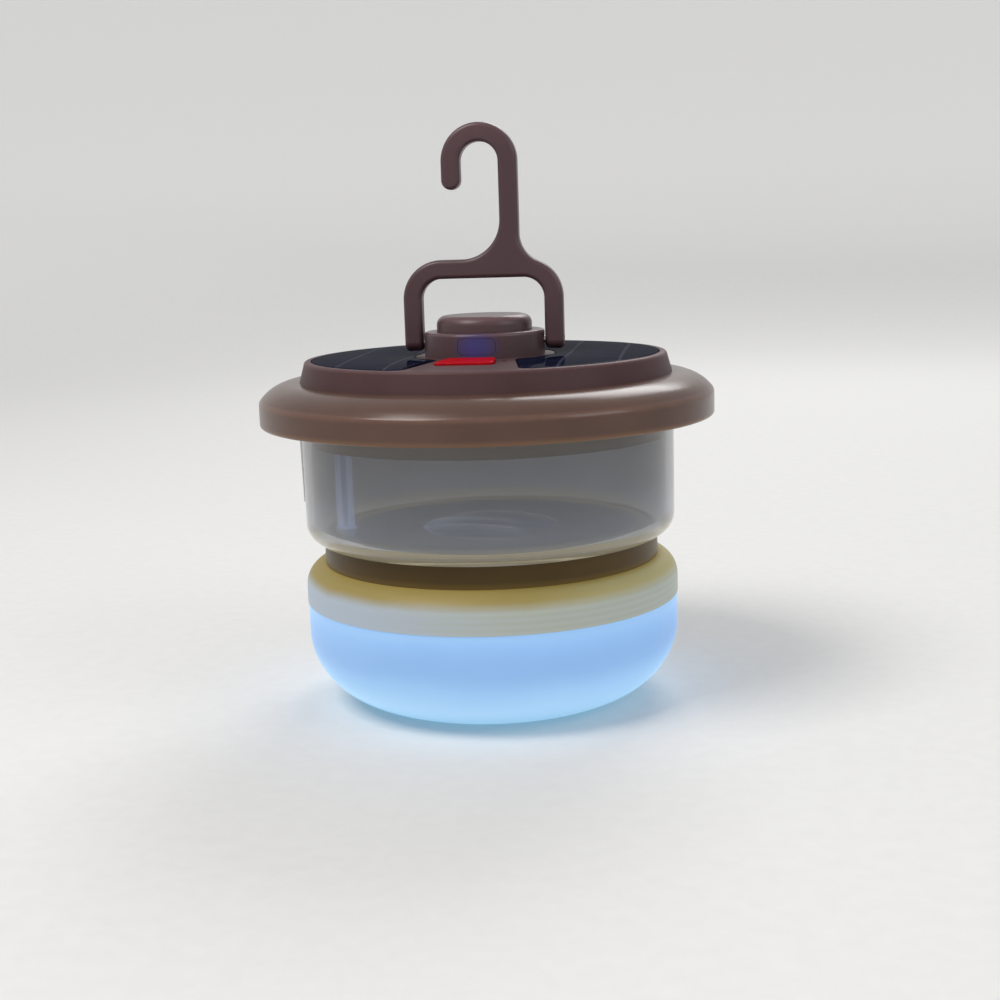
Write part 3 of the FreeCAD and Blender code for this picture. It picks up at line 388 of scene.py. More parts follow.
def moulded(name, colour, gloss, grain_depth, worn, lit=None, shine=0.35):
    """Clouded plastic with a tooled grain; worn says where it is rubbed, and lit where painted light or
    painted shade tints it.
    """
    material, tree, sockets = finish(name, IOR=1.5, Specular_IOR_Level=shine)
    spot = place(tree)
    cloud = rise(tree, noise(tree, spot["at"], scale=55.0, detail=4.0), 0.3, 0.7)
    body = mix(tree, cloud, scaled(colour, cloud_dark), scaled(colour, cloud_pale))
    speck = rise(tree, noise(tree, spot["at"], scale=1600.0, detail=2.0), 0.62, 0.78)
    patchy = spread(tree, noise(tree, spot["at"], scale=420.0, detail=5.0), 0.25, 0.85)
    rubbed = times(tree, worn(tree, spot), patchy)
    body = layered(
        tree,
        body,
        (times(tree, speck, speck_strength), scaled(colour, speck_pale)),
        (rubbed, scaled(colour, rubbed_pale)),
    )
    if lit:
        share, tint, light = lit(tree, spot)
        body = mix(tree, share, body, tint)
        sockets["Emission Strength"].default_value = 1.0
        join(tree, sockets, Emission_Color=mix(tree, share, BLACK, light))
    haze = noise(tree, spot["at"], scale=90.0, detail=4.0)
    rough = spread(tree, haze, gloss - haze_span, gloss + haze_span)
    rough = calc(tree, "SUBTRACT", rough, times(tree, rubbed, rubbed_smoother))
    grain = noise(tree, spot["at"], scale=2600.0, detail=2.0)
    join(tree, sockets, Base_Color=body, Roughness=rough, Normal=relief(tree, grain, grain_depth))
    return material


# %% Where it is rubbed and where it is lit


def rim_at(radius, height, reach):
    """Wear near a round edge of that radius and height: full within a fifth of the reach, none beyond it."""

    def worn(tree, spot):
        out = calc(tree, "SUBTRACT", spot["radius"], radius)
        over = calc(tree, "SUBTRACT", spot["z"], height)
        return rise(tree, length(tree, out, over), reach, reach / 5)

    return worn


def lit_above(level, height, tint, light):
    """Lamp light that is full at a level and has faded out at a height above it."""

    def lit(tree, spot):
        return rise(tree, spot["z"], level + height, level), tint, light

    return lit


# %% [markdown]
# ## Brim and base plate
# The brim is one smooth turned form: an upright side, a tight shoulder and a wide rounded top.
# Its few sizes are repeated here, because the wear lies along the shoulder and two arcs say where that is.
# Its lower edge catches a little warm light that leaks up through the clear shell.
# The base plate closes the brim from below. Lamp light falls on its rib, which shows inside the clear shell.
# The frame gives the lowest and the highest corner of each piece, so the finishes take their places from it.

# %% Brim
brim_low, brim_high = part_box("brim")
ledge_radius = 47.4 * MM
shoulder_round = 1.8 * MM
shoulder_turn = math.radians(38.0)
shoulder_reach = brim_high.x - shoulder_round - ledge_radius
cap_round = shoulder_round + shoulder_reach / math.cos(shoulder_turn)
cap_height = brim_high.z - cap_round
side_top = cap_height + (cap_round - shoulder_round) * math.sin(shoulder_turn)
print("brim side ends at", round(side_top / MM, 2), "mm, cap radius", round(cap_round / MM, 2), "mm")

brim_colour = shade(88, 64, 54)
brim_wear = rim_at(radius=brim_high.x - 0.3 * MM, height=side_top + 0.7 * MM, reach=1.1 * MM)
brim_light = lit_above(brim_low.z, 1.6 * MM, shade(104, 74, 54), linear(0.030, 0.018, 0.008))
brim_plastic = moulded("glossy_brim_plastic", brim_colour, gloss=0.25, grain_depth=0.003 * MM,
                       worn=brim_wear, lit=brim_light)
dress(brim_plastic, "brim")

# %% Base plate
plate_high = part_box("base_plate")[1]
plate_wear = rim_at(radius=plate_high.x, height=plate_high.z, reach=0.8 * MM)
plate_light = lit_above(brim_low.z, 0.5 * MM, shade(136, 114, 94), linear(0.100, 0.082, 0.062))
plate_plastic = moulded("base_plate_plastic", brim_colour, gloss=0.34, grain_depth=0.006 * MM,
                        worn=plate_wear, lit=plate_light)
dress(plate_plastic, "base_plate")

# %% [markdown]
# ## Deck, button and hook
# The deck has a satin texture that hides scratches, and a small hole beside the red plate that is painted
# dark below its rim as shade.
# It mirrors little, or the pale room would wash its colour out at the photograph's low angle.
# The button is polished by thumbs around its top edge.
# The hook is rubbed where it hangs, high in its arch, and where it turns at its two pivots.
# A hair-fine parting line runs round the hook where the two halves of its mould met.
# Such a line could be cut into the mesh, but it is finer than any edge there, so the finish draws it.

# %% Deck
deck_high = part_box("deck")[1]
deck_edge_radius = 44.6 * MM
pinhole_x = 7.4 * MM
pinhole_y = -20.1 * MM
pinhole_radius = 0.75 * MM
pinhole_soft = 0.08 * MM
dark_from = 0.1 * MM
dark_full = 0.3 * MM


def pinhole_painted_shade(tree, spot):
    """Painted shade: the hole is dark below its rim."""
    aside = calc(tree, "SUBTRACT", spot["x"], pinhole_x)
    behind = calc(tree, "SUBTRACT", spot["y"], pinhole_y)
    within = rise(tree, length(tree, aside, behind), pinhole_radius + pinhole_soft, pinhole_radius)
    below = rise(tree, spot["z"], deck_high.z - dark_from, deck_high.z - dark_full)
    return times(tree, within, below), shade(10, 9, 10), BLACK


deck_wear = rim_at(radius=deck_edge_radius, height=deck_high.z, reach=1.0 * MM)
deck_plastic = moulded("satin_deck_plastic", shade(80, 58, 59), gloss=0.44, grain_depth=0.010 * MM,
                       worn=deck_wear, lit=pinhole_painted_shade, shine=0.10)
dress(deck_plastic, "deck")

# %% Button
button_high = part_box("push_button")[1]
top_edge_share = 0.87
button_wear = rim_at(radius=button_high.x * top_edge_share, height=button_high.z - 0.4 * MM, reach=1.2 * MM)
button_plastic = moulded("button_plastic", shade(83, 61, 63), gloss=0.38, grain_depth=0.008 * MM,
                         worn=button_wear)
dress(button_plastic, "push_button")

# %% Hook
hook_low, hook_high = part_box("hook")
arch_depth = 8.0 * MM
arch_rub = 0.7
eye_full = 2.0 * MM
eye_reach = 5.0 * MM
eye_rub = 0.5
parting_half = 0.06 * MM
parting_rub = 0.22


def hook_wear(tree, spot):
    """Rubbed high in the arch, at the pivots, and in a thin line along the parting plane."""
    arch = times(tree, rise(tree, spot["z"], hook_high.z - arch_depth, hook_high.z), arch_rub)
    eyes = times(tree, rise(tree, spot["z"], hook_low.z + eye_reach, hook_low.z + eye_full), eye_rub)
    parting = stripe(tree, spot["y"], middle=0.0, half=parting_half, soft=parting_half)
    parting = times(tree, parting, parting_rub)
    return calc(tree, "MAXIMUM", calc(tree, "MAXIMUM", arch, eyes), parting)


hook_plastic = moulded("satin_hook_plastic", shade(79, 57, 61), gloss=0.36, grain_depth=0.010 * MM,
                       worn=hook_wear)
dress(hook_plastic, "hook")

# %% [markdown]
# ## Hub and status window
# The hub is the lower tier of the turret. A small diode inside shines through a window in its front.
# The window has the colour of the hub, so only a soft blue glow of the diode shows, painted on without a hard
# edge.
# A blue window alone would end in an outline.
# So the same painted glow is worked out for both pieces from where a point lies, and runs on from one to the
# other.

# %% Hub and status window
hub_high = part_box("hub")[1]
window_low, window_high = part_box("status_window")
window_x = (window_low.x + window_high.x) / 2
window_z = (window_low.z + window_high.z) / 2
aside_share = 0.55
over_share = 0.8
diode_glow_full = 0.6 * MM
diode_glow_reach = 3.8 * MM
front_from = -6.0 * MM
front_full = -11.0 * MM


def blue_diode_glow(tree, spot):
    """Painted blue light of the diode that fades out from the middle of the window, on the front of the hub
    only.
    """
    aside = times(tree, calc(tree, "SUBTRACT", spot["x"], window_x), aside_share)
    over = times(tree, calc(tree, "SUBTRACT", spot["z"], window_z), over_share)
    near = rise(tree, length(tree, aside, over), diode_glow_reach, diode_glow_full)
    front = rise(tree, spot["y"], front_from, front_full)
    return times(tree, near, front), shade(50, 44, 84), linear(0.012, 0.013, 0.062)


hub_colour = shade(81, 60, 63)
hub_wear = rim_at(radius=hub_high.x - 0.3 * MM, height=hub_high.z - 0.3 * MM, reach=0.9 * MM)
hub_plastic = moulded("satin_hub_plastic", hub_colour, gloss=0.34, grain_depth=0.008 * MM,
                      worn=hub_wear, lit=blue_diode_glow)
dress(hub_plastic, "hub")
window_plastic = moulded("window_plastic", hub_colour, gloss=0.26, grain_depth=0.004 * MM,
                         worn=hub_wear, lit=blue_diode_glow)
dress(window_plastic, "status_window")

# %% [markdown]
# ## Red plate
# The plate in front of the hub is clear red plastic on a red ground, deeper at its edges and left bare.
# Real clear plastic would need a ground modelled under it.
# The plate is thin, so a red body under a clear coat will do.
# A weak gloss keeps its colour deep when it is seen at a low angle.

# %% Red plate
red_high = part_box("red_plate")[1]
edge_from = 0.4 * MM
edge_full = 1.0 * MM

red, tree, sockets = finish("red_plate_plastic", IOR=1.5, Specular_IOR_Level=0.0, Coat_Weight=0.22,
                            Coat_Roughness=0.08)
spot = place(tree)
cloud = noise(tree, spot["at"], scale=260.0, detail=4.0)
body = mix(tree, cloud, shade(168, 10, 22), shade(186, 16, 30))
edge = rise(tree, spot["z"], red_high.z - edge_from, red_high.z - edge_full)
body = mix(tree, edge, body, shade(112, 6, 16))
join(tree, sockets, Base_Color=body, Roughness=spread(tree, cloud, 0.25, 0.40))
dress(red, "red_plate")

# %% [markdown]
# ## Solar panels
# Each panel is a row of dark silicon cells under a poured crown of resin, blue-black and glossy.
# Thin silver fingers and a few wider bars carry the current, and they only just show in the dark blue.
# Seen at a low angle, bare resin would mirror the pale room and look grey.
# The cells take most of that light in, so here a thin coat alone carries the gloss.

# %% Solar panels
finger_pitch = 1.4 * MM
finger_strength = 0.25
cell_pitch = 9.0 * MM
bar_pitch = 13.0 * MM
bar_strength = 0.22
pattern_shift = 4.5 * MM
resin_swell = 0.10 * MM

panel, tree, sockets = finish("solar_resin", Specular_IOR_Level=0.0, Coat_Weight=0.09, Coat_Roughness=0.03)
spot = place(tree)
crystal = noise(tree, spot["at"], scale=130.0, detail=2.0)
fingers = lines(tree, spot["y"], finger_pitch, half=0.05 * MM, soft=0.06 * MM)
gaps = lines(tree, calc(tree, "ADD", spot["y"], pattern_shift), cell_pitch, half=0.22 * MM, soft=0.1 * MM)
bars = lines(tree, calc(tree, "ADD", spot["x"], pattern_shift), bar_pitch, half=0.30 * MM, soft=0.1 * MM)
body = layered(
    tree,
    mix(tree, crystal, shade(10, 12, 26), shade(17, 21, 42)),
    (times(tree, fingers, finger_strength), shade(58, 64, 86)),
    (gaps, shade(7, 7, 10)),
    (times(tree, bars, bar_strength), shade(92, 96, 112)),
)
swell = noise(tree, spot["at"], scale=65.0, detail=1.0)
join(tree, sockets, Base_Color=body, Roughness=spread(tree, crystal, 0.25, 0.40),
     Coat_Normal=relief(tree, swell, resin_swell))
dress(panel, "solar_panel_left", "solar_panel_right")

# %% [markdown]
# ## Opal dome
# The dome is milky plastic with the lamp burning behind it, so most of its colour is its own light.
# A real lamp inside a milky dome would be slow to render and full of noise, so the surface glows instead.
# The light is a cool blue-white: bright under the collar, dimmer in a belt, and brightest low down.
# Close to the ground it is held back a little, because the pale floor there sends light back up.
# The surface itself is kept fairly dark, so that room light and lamp light together stay below white.

# %% Opal dome
belt_height = 17.5 * MM
low_from = 18.5 * MM
low_full = 5.5 * MM
top_from = 22.5 * MM
top_full = 25.0 * MM
sole_from = 6.5 * MM
sole_full = 1.5 * MM
milk_span = 4.0 * MM
milk_strength = 0.20

dome, tree, sockets = finish("lit_opal_plastic", Roughness=0.32, IOR=1.48, Specular_IOR_Level=0.2,
                             Emission_Strength=1.0)
spot = place(tree)
milk = noise(tree, spot["at"], scale=38.0, detail=3.0)
height = wavering(tree, spot, milk, milk_span)
belt = stripe(tree, height, belt_height, half=1.0 * MM, soft=6.0 * MM)
low = rise(tree, height, low_from, low_full)
under_collar = rise(tree, height, top_from, top_full)
sole = rise(tree, spot["z"], sole_from, sole_full)
glow = layered(
    tree,
    linear(0.130, 0.320, 0.620),
    (belt, linear(0.105, 0.265, 0.545)),
    (low, linear(0.270, 0.480, 0.690)),
    (under_collar, linear(0.165, 0.355, 0.645)),
    (times(tree, milk, milk_strength), linear(0.160, 0.350, 0.670)),
    (sole, linear(0.205, 0.405, 0.570)),
)
body = mix(tree, milk, linear(0.19, 0.24, 0.30), linear(0.22, 0.27, 0.33))
fine = noise(tree, spot["at"], scale=1900.0, detail=2.0)
join(tree, sockets, Base_Color=body, Emission_Color=glow, Normal=relief(tree, fine, 0.004 * MM))
dress(dome, "dome_diffuser")

# %% [markdown]
# ## Collar and neck
# The collar is cream plastic that the lamp shines through. Its thin wall glows almost white,
# bluish on the left and creamier on the right.
# The thicker shoulder turns gold, and the neck above it stays brown.
# Faint rings on the right of the wall are the painted shade of the thread inside, seen through the plastic.
# As with the dome, the light that comes through is drawn as a glow,
# by height, side and distance from the axis. The gold of the lit shoulder is painted into its colour too.

# %% Collar
collar_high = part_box("lamp_collar")[1]
cloud_span = 1.4 * MM
shoulder_from = 5.0 * MM
shoulder_full = 1.8 * MM
cream_from = -30.0 * MM
cream_full = 20.0 * MM
pale_from = 8.0 * MM
pale_full = 40.0 * MM
ring_pitch = 1.6 * MM
ring_slant = 0.004
ring_strength = 0.35
outer_from = 5.2 * MM
outer_full = 2.6 * MM

collar, tree, sockets = finish("glowing_collar_plastic", Roughness=0.48, IOR=1.5, Specular_IOR_Level=0.2,
                               Emission_Strength=1.0)
spot = place(tree)
cloud = noise(tree, spot["at"], scale=60.0, detail=4.0)
height = wavering(tree, spot, cloud, cloud_span)
shoulder = rise(tree, height, collar_high.z - shoulder_from, collar_high.z - shoulder_full)
to_right = rise(tree, spot["x"], cream_from, cream_full)
far_right = rise(tree, spot["x"], pale_from, pale_full)
outward = rise(tree, spot["radius"], collar_high.x - outer_from, collar_high.x - outer_full)
print("shoulder of the collar starts at", round((collar_high.z - shoulder_from) / MM, 1), "mm")

# %% Light in the collar
# The thread inside is painted as shade: darker rings in the glow.
tilted = calc(tree, "ADD", spot["z"], times(tree, spot["x"], ring_slant))
rings = lines(tree, tilted, ring_pitch, half=0.2 * MM, soft=0.4 * MM)
rings = times(tree, times(tree, rings, to_right), ring_strength)
wall_glow = mix(tree, to_right, linear(0.120, 0.190, 0.300), linear(0.132, 0.176, 0.180))
wall_glow = mix(tree, rings, wall_glow, linear(0.095, 0.115, 0.085))
outer_glow = mix(tree, far_right, linear(0.072, 0.065, 0.014), linear(0.152, 0.160, 0.090))
shoulder_glow = mix(tree, outward, linear(0.105, 0.076, 0.014), outer_glow)
glow = mix(tree, shoulder, wall_glow, shoulder_glow)
# The gold towards the shoulder is painted lamp light in the thicker plastic.
body = mix(tree, shoulder, linear(0.30, 0.285, 0.235), linear(0.255, 0.190, 0.070))
fine = noise(tree, spot["at"], scale=2200.0, detail=2.0)
join(tree, sockets, Base_Color=body, Emission_Color=glow, Normal=relief(tree, fine, 0.006 * MM))
dress(collar, "lamp_collar")

# %% Neck
neck_low, neck_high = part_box("neck_ring")
foot_height = 1.8 * MM

neck, tree, sockets = finish("brown_neck_plastic", IOR=1.5, Specular_IOR_Level=0.2, Emission_Strength=1.0)
spot = place(tree)
cloud = noise(tree, spot["at"], scale=80.0, detail=4.0)
foot = rise(tree, spot["z"], neck_low.z + foot_height, neck_low.z)
body = mix(tree, cloud, shade(70, 53, 21), shade(83, 64, 29))
# The foot of the neck carries painted warm lamp light from the collar below.
glow = mix(tree, foot, BLACK, linear(0.035, 0.024, 0.005))
join(tree, sockets, Base_Color=body, Emission_Color=glow, Roughness=spread(tree, cloud, 0.30, 0.42))
dress(neck, "neck_ring")

# %% [markdown]
# ## Clear shell
# The middle of the lantern is a clear cup, a little smoky and hazy like a water bottle that has been used.
# Light passes through it, so the rib of the housing above and the domed floor show.
# Lamp light enters from below: it brightens the haze near the foot, glows bluish in the domed floor
# and cream in the lip that stands on the neck. The thin rib on the left side catches a little of it too.
# A cloudy volume could carry the haze, but it is slow, so the haze is a weak glow that fades with height.
# Two thin streaks of lamp light lie across the domed floor, each drawn along a bent line over it.

# %% Clear plastic
scuff_rougher = 0.05
wave_depth = 0.10 * MM


def clear(name, tint, rough):
    """See-through plastic with smears, scuffs and faint waves; rough is its lowest and highest roughness."""
    material, tree, sockets = finish(name, IOR=1.49, Transmission_Weight=0.90, Emission_Strength=1.0)
    spot = place(tree)
    smear = noise(tree, spot["at"], scale=70.0, detail=4.0)
    scuff = rise(tree, noise(tree, spot["at"], scale=420.0, detail=6.0), 0.55, 0.8)
    hazed = calc(tree, "ADD", spread(tree, smear, *rough), times(tree, scuff, scuff_rougher))
    wave = noise(tree, spot["at"], scale=45.0, detail=2.0)
    body = mix(tree, smear, scaled(tint, 0.96), scaled(tint, 1.04))
    join(tree, sockets, Base_Color=body, Roughness=hazed, Normal=relief(tree, wave, wave_depth))
    return material, tree, sockets, spot


def across_floor(tree, spot, near, slant, bend):
    """How far y lies beyond a curve over the floor: near, plus slant times x, plus bend times x squared."""
    steeper = calc(tree, "ADD", times(tree, spot["x"], bend), slant)
    curve = calc(tree, "ADD", times(tree, spot["x"], steeper), near)
    return calc(tree, "SUBTRACT", spot["y"], curve)


# %% Clear shell
shell_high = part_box("clear_shell")[1]
lip_z = neck_high.z
haze_from = 17.0 * MM
haze_full = 1.0 * MM
punt_from = 18.0 * MM
punt_full = 14.0 * MM
foot_from = 35.0 * MM
foot_full = 38.0 * MM
lip_from = 4.4 * MM
lip_full = 2.2 * MM
rib_from = 0.1 * MM
rib_full = 0.3 * MM

smoky, tree, sockets, spot = clear("smoky_clear_plastic", linear(0.34, 0.345, 0.36), rough=(0.02, 0.06))
haze = rise(tree, spot["z"], lip_z + haze_from, lip_z + haze_full)
punt = rise(tree, spot["radius"], punt_from, punt_full)
outside = rise(tree, spot["radius"], foot_from, foot_full)
lip = times(tree, rise(tree, spot["z"], lip_z + lip_from, lip_z + lip_full), outside)
rib = rise(tree, spot["radius"], shell_high.x + rib_from, shell_high.x + rib_full)
print("haze in the shell fades out at", round((lip_z + haze_from) / MM, 1), "mm")

# %% Light in the clear shell
streak_half = 0.3 * MM
streak_soft = 0.7 * MM
left_from = -18.0 * MM
left_full = -12.0 * MM
right_from = 12.0 * MM
right_full = 5.0 * MM
front_fade = 6.0 * MM

beyond_high = across_floor(tree, spot, near=-5.0 * MM, slant=-0.257, bend=18.2)
beyond_low = across_floor(tree, spot, near=-10.1 * MM, slant=-0.180, bend=8.5)
near_half = rise(tree, beyond_high, front_fade, 0.0)
left_end = rise(tree, spot["x"], left_from, left_full)
right_end = rise(tree, spot["x"], right_from, right_full)
reach = times(tree, left_end, right_end)
streaks = [stripe(tree, beyond, 0.0, streak_half, streak_soft) for beyond in (beyond_high, beyond_low)]
streak_high, streak_low = [times(tree, times(tree, streak, reach), haze) for streak in streaks]
glow = layered(
    tree,
    BLACK,
    (haze, linear(0.034, 0.038, 0.046)),
    (times(tree, times(tree, punt, haze), near_half), linear(0.060, 0.078, 0.110)),
    (streak_high, linear(0.185, 0.194, 0.207)),
    (streak_low, linear(0.250, 0.260, 0.278)),
    (lip, linear(0.090, 0.080, 0.054)),
    (rib, linear(0.060, 0.060, 0.066)),
)
join(tree, sockets, Emission_Color=glow)
dress(smoky, "clear_shell")

# %% [markdown]
# ## Duct for the lamp leads
# A slim clear tube carries the leads down to the lamp. It pipes lamp light upward, so its foot glows bluish.
# A small bead of clear glue holds it at both ends.
# The bead is a hollow fillet turned about the tube: a corner with a quarter circle taken out of it.
# A plain ring would look like a washer, and the fillet is what wet glue leaves when it creeps into a corner.

# %% Duct
duct_low, duct_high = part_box("wire_duct")
duct_plastic, tree, sockets, spot = clear("duct_clear_plastic", linear(0.80, 0.82, 0.86), rough=(0.10, 0.20))
piped = rise(tree, spot["z"], duct_high.z, duct_low.z)
glow = mix(tree, piped, linear(0.030, 0.033, 0.045), linear(0.105, 0.125, 0.175))
join(tree, sockets, Emission_Color=glow)
dress(duct_plastic, "wire_duct")

# %% Glue around the duct
duct_centre = ((duct_low.x + duct_high.x) / 2, (duct_low.y + duct_high.y) / 2)
duct_radius = (duct_high.x - duct_low.x) / 2
glue_size = 0.9 * MM
glue_arc_points = 12
glue_turn_points = 48


def glue_ring(level, way):
    """A hollow fillet turned about the duct: out along the floor, then back up in a quarter circle."""
    share = np.linspace(0, np.pi / 2, glue_arc_points)
    out = np.concatenate([[0.0], glue_size * (1 - np.sin(share))])
    climb = np.concatenate([[0.0], glue_size * (1 - np.cos(share))])
    turn = np.linspace(0, 2 * np.pi, glue_turn_points, endpoint=False)
    radius = duct_radius + out
    x = duct_centre[0] + np.outer(np.cos(turn), radius)
    y = duct_centre[1] + np.outer(np.sin(turn), radius)
    z = level + way * np.outer(np.ones_like(turn), climb)
    grid = np.stack([x, y, z], axis=-1)
    return grid[::-1] if way > 0 else grid


glue_rings = [glue_ring(duct_low.z, way=1), glue_ring(duct_high.z, way=-1)]
glue = surface("duct_glue", glue_rings, close_rows=True, close_columns=True)
glue.data.materials.append(duct_plastic)
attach(glue, "housing")

# %% [markdown]
# ## Soft cover of the charging port
# The cover at the back is soft rubber in the colour of the brim, dull and a little dusty.
# Three small ridges give a fingernail something to pull, at the end away from its hinge.
# Bump in the finish could fake them, but they stand proud at the outline, so they are a mesh.
# Each ridge is a long bent bead: an oval section carried up the brim's curve, closed to a point at both ends.

# %% Port cover
cover_low, cover_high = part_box("port_cover")
cover, tree, sockets = finish("soft_cover_rubber", IOR=1.45, Sheen_Weight=0.25, Sheen_Roughness=0.4)
spot = place(tree)
dust = noise(tree, spot["at"], scale=240.0, detail=5.0)
body = mix(tree, rise(tree, dust, 0.35, 0.75), shade(70, 52, 46), shade(86, 66, 59))
pores = noise(tree, spot["at"], scale=1800.0, detail=3.0)
join(tree, sockets, Base_Color=body, Roughness=spread(tree, dust, 0.55, 0.72),
     Normal=relief(tree, pores, 0.02 * MM))
dress(cover, "port_cover")

# %% Ridges on the cover
ridge_places = (5.4 * MM, 6.4 * MM, 7.4 * MM)
ridge_width = 0.6 * MM
ridge_proud = 0.25 * MM
ridge_low = cover_low.z + 0.9 * MM
ridge_high = cover_high.z - 0.6 * MM
ridge_rows = 25
ridge_columns = 16


def brim_curve(height):
    """Radius of the brim at a height: the upright side, then the shoulder's arc, then the cap's arc."""
    over_side = np.clip(height - side_top, 0, shoulder_round)
    shoulder_arc = brim_high.x - shoulder_round + np.sqrt(shoulder_round ** 2 - over_side ** 2)
    cap_arc = ledge_radius + np.sqrt(cap_round ** 2 - (height - cap_height) ** 2)
    return np.where(over_side < shoulder_round * math.sin(shoulder_turn), shoulder_arc, cap_arc)


def grip_ridge(x):
    """An oval section carried up the brim's curve, its size the square root of a half sine of the way up."""
    upward = np.linspace(0, 1, ridge_rows)
    around = np.linspace(0, 2 * np.pi, ridge_columns, endpoint=False)
    along, turn = np.meshgrid(upward, around, indexing="ij")
    swell = np.sqrt(np.clip(np.sin(np.pi * along), 0, None))
    z = ridge_low + (ridge_high - ridge_low) * along
    across = x + ridge_width / 2 * swell * np.cos(turn)
    out = np.sqrt(brim_curve(z) ** 2 - across ** 2) + ridge_proud * swell * np.sin(turn)
    return np.stack([across, out, z], axis=-1)


grip = surface("port_cover_grip", [grip_ridge(x) for x in ridge_places], close_columns=True)
grip.data.materials.append(cover)
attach(grip, "cover_body")

# %% [markdown]
# ## Rubber, foam and black plastic inside
# The inner pieces hardly show, yet the lantern can be opened, so each has the finish of its kind.
# Seals, nuts, chips, foam and the white lead sleeves are all dull stuff with dust and pores.
# They differ only in colour, roughness and scale, so one function makes them.

# %% Seals, black plastic, foam and white sleeves
pores_per_cloud = 8
pore_depth = 0.01 * MM


def dull(name, dark, pale, rough, scale):
    """Dull soft or moulded stuff with a dusty cloud over it; rough is its lowest and highest roughness."""
    material, tree, sockets = finish(name, IOR=1.45)
    spot = place(tree)
    dust = noise(tree, spot["at"], scale=scale, detail=5.0)
    pores = noise(tree, spot["at"], scale=scale * pores_per_cloud, detail=2.0)
    body = mix(tree, dust, dark, pale)
    join(tree, sockets, Base_Color=body, Roughness=spread(tree, dust, *rough),
         Normal=relief(tree, pores, pore_depth))
    return material


silicone = dull("seal_silicone", shade(120, 116, 112), shade(150, 146, 140), rough=(0.5, 0.7), scale=260.0)
dress(silicone, "dome_seal", "deck_seal", "shell_seal")
nylon = dull("black_nylon", shade(26, 26, 27), shade(38, 38, 40), rough=(0.38, 0.55), scale=420.0)
dress(nylon, "hub_ring_nut", "tact_switch", "switch_plunger", "board_chips")
foam = dull("adhesive_foam", shade(196, 190, 176), shade(214, 209, 198), rough=(0.8, 0.95), scale=900.0)
dress(foam, "battery_pad")
sleeve = dull("white_sleeve", shade(196, 196, 194), shade(212, 212, 210), rough=(0.4, 0.5), scale=300.0)
dress(sleeve, "led_leads")

# %% [markdown]
# ## Red and black leads
# The cell, the panels and the switch each have red and black leads, which are one piece of the frame.
# Splitting the mesh would change the frame, so the finish picks red or black from where a point lies.

# %% Red and black leads
battery_lead_x = 12.0 * MM
panel_lead_start = (24.0 * MM, 19.97 * MM)
panel_lead_end = (13.0 * MM, 28.0 * MM)
sleeve_edge = 0.02 * MM
dust_strength = 0.12


def two_sleeves(name, beside):
    """Red and black sleeves side by side; beside is below 0 on one lead and above 0 on the other."""
    material, tree, sockets = finish(name, IOR=1.45)
    spot = place(tree)
    dust = noise(tree, spot["at"], scale=500.0, detail=4.0)
    other = rise(tree, beside(tree, spot), -sleeve_edge, sleeve_edge)
    colour = mix(tree, other, shade(150, 24, 22), shade(30, 30, 32))
    colour = mix(tree, times(tree, dust, dust_strength), colour, shade(180, 176, 170))
    join(tree, sockets, Base_Color=colour, Roughness=spread(tree, dust, 0.4, 0.55))
    return material


def beside_battery(tree, spot):
    """The two leads of the cell lie either side of one x."""
    return calc(tree, "SUBTRACT", spot["x"], battery_lead_x)


def beside_panel(tree, spot):
    """The leads of a panel run slantwise, one in front of the other, so y is measured from that slant."""
    slope = (panel_lead_end[1] - panel_lead_start[1]) / (panel_lead_start[0] - panel_lead_end[0])
    inward = calc(tree, "SUBTRACT", panel_lead_start[0], calc(tree, "ABSOLUTE", spot["x"]))
    middle = calc(tree, "ADD", times(tree, inward, slope), panel_lead_start[1])
    return calc(tree, "SUBTRACT", spot["y"], middle)


def beside_switch(tree, spot):
    """The two leads of the switch lie either side of the middle."""
    return spot["x"]


dress(two_sleeves("battery_sleeves", beside_battery), "battery_leads")
dress(two_sleeves("panel_sleeves", beside_panel), "panel_leads")
dress(two_sleeves("switch_sleeves", beside_switch), "switch_leads")

# %% [markdown]
# ## Metal
# Screws and pins are zinc-plated steel with fine turning marks and a few dull stains.
# The charging socket is a steel shell around a black tongue, and both are one piece of the frame.
# So one finish turns from metal to plastic where the tongue lies.

# %% Steel


def steel(name, colour, scale):
    """Bright metal with fine turning marks and a few dull stains."""
    material, tree, sockets = finish(name, Metallic=1.0)
    spot = place(tree)
    marks = noise(tree, spot["at"], scale=scale, detail=2.0)
    stain = noise(tree, spot["at"], scale=300.0, detail=5.0)
    tone = mix(tree, rise(tree, stain, 0.5, 0.8), colour, scaled(colour, 0.7))
    join(tree, sockets, Base_Color=tone, Roughness=spread(tree, marks, 0.22, 0.42),
         Normal=relief(tree, marks, 0.003 * MM))
    return material


zinc = steel("zinc_steel", linear(0.60, 0.60, 0.58), scale=2400.0)
dress(zinc, "cover_screws", "neck_screws", "board_screws", "led_board_screws", "hook_pins")

# %% Charging socket
socket_low, socket_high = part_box("usb_socket")
socket_z = (socket_low.z + socket_high.z) / 2
tongue_half_height = 0.3 * MM
tongue_half_width = 3.3 * MM
tongue_soft = 0.1 * MM

socket_steel, tree, sockets = finish("socket_steel")
spot = place(tree)
marks = noise(tree, spot["at"], scale=1800.0, detail=2.0)
level = stripe(tree, spot["z"], socket_z, tongue_half_height, tongue_soft)
tongue = times(tree, level, stripe(tree, spot["x"], 0.0, tongue_half_width, tongue_soft))
tone = mix(tree, tongue, linear(0.62, 0.62, 0.60), shade(24, 24, 26))
join(tree, sockets, Base_Color=tone, Roughness=spread(tree, marks, 0.25, 0.4),
     Metallic=calc(tree, "SUBTRACT", 1.0, tongue))
dress(socket_steel, "usb_socket")

# %% [markdown]
# ## Boards, diodes and cell
# The boards are lacquered, green or white, with copper runs that show faintly through the lacquer.
# The runs go along x in some patches and along y in others, as they do on a routed board.
# The diodes are lit, so they glow by themselves, and the cell is wrapped in creased foil.

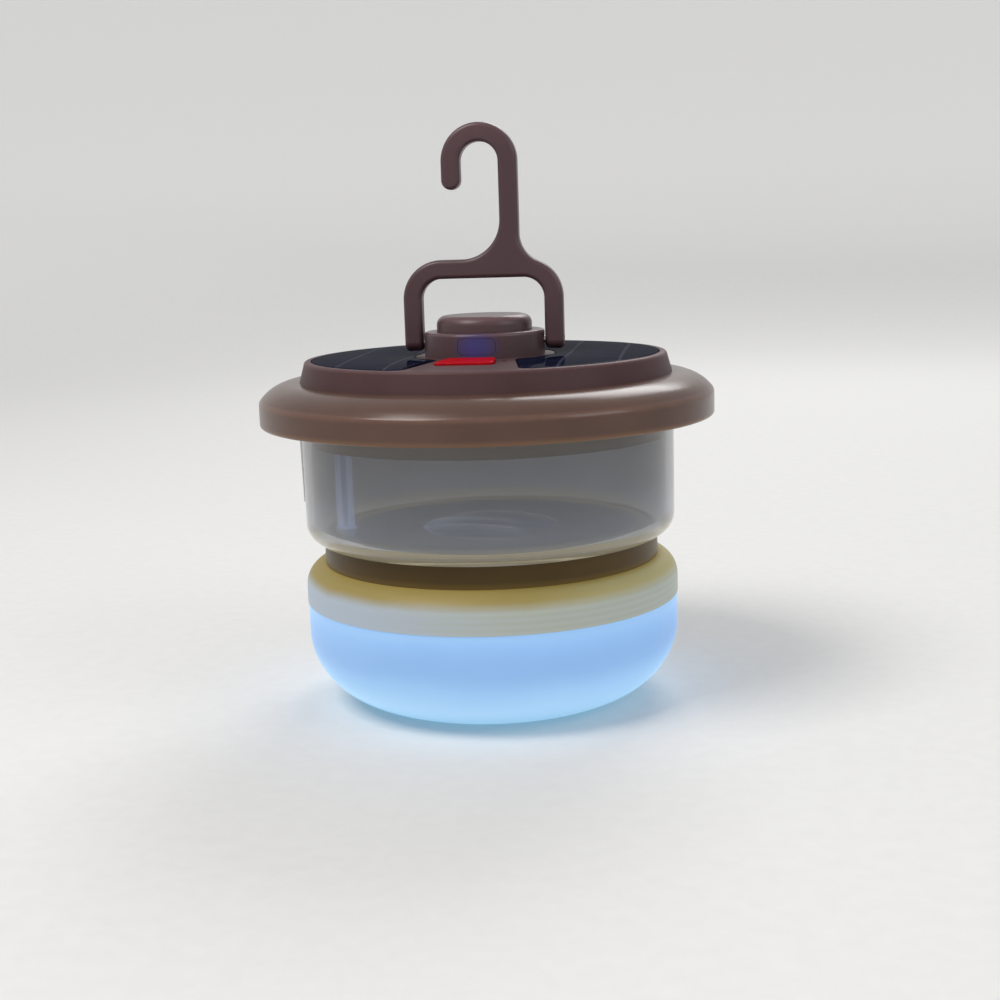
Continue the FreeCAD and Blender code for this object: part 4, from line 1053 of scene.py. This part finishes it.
# %% Boards
trace_pitch = 1.6 * MM
trace_half = 0.22 * MM
trace_soft = 0.06 * MM
trace_height = 0.03 * MM


def board(name, mask_colour, trace_colour):
    """Lacquered board with runs of copper that show faintly through the lacquer."""
    material, tree, sockets = finish(name, IOR=1.5)
    spot = place(tree)
    patch = noise(tree, spot["at"], scale=150.0, detail=1.0)
    along_x = lines(tree, spot["y"], trace_pitch, trace_half, trace_soft)
    along_x = times(tree, along_x, rise(tree, patch, 0.5, 0.52))
    along_y = lines(tree, spot["x"], trace_pitch, trace_half, trace_soft)
    along_y = times(tree, along_y, rise(tree, patch, 0.5, 0.48))
    trace = calc(tree, "MAXIMUM", along_x, along_y)
    tone = mix(tree, trace, mask_colour, trace_colour)
    join(tree, sockets, Base_Color=tone, Roughness=spread(tree, patch, 0.28, 0.4),
         Normal=relief(tree, trace, trace_height))
    return material


dress(board("green_board", shade(18, 74, 44), shade(44, 112, 66)), "main_board", "switch_board")
dress(board("white_board", shade(216, 216, 210), shade(228, 228, 224)), "led_board")

# %% Diodes
diode, tree, sockets = finish("lit_diodes", Roughness=0.4, Emission_Strength=1.0)
spot = place(tree)
grain = noise(tree, spot["at"], scale=900.0, detail=3.0)
body = mix(tree, grain, shade(206, 190, 96), shade(226, 214, 140))
glow = mix(tree, grain, linear(0.45, 0.60, 0.85), linear(0.55, 0.70, 0.95))
join(tree, sockets, Base_Color=body, Emission_Color=glow)
dress(diode, "led_chips", "status_led")

# %% Cell
foil, tree, sockets = finish("cell_foil", Metallic=0.85)
spot = place(tree)
crease = noise(tree, spot["at"], scale=140.0, detail=6.0, roughness=0.6)
tone = mix(tree, crease, shade(150, 154, 162), shade(186, 190, 196))
join(tree, sockets, Base_Color=tone, Roughness=spread(tree, crease, 0.28, 0.5),
     Normal=relief(tree, crease, 0.25 * MM))
dress(foil, "battery_cell")

# %% [markdown]
# ## Last cell
# The last cell lists the pieces without a finish and updates the scene.

# %% Finish
bare = [name for name, piece in nodes.items() if not piece.data.materials[0].use_nodes]
print("pieces without a finish:", bare)
bpy.context.view_layer.update()
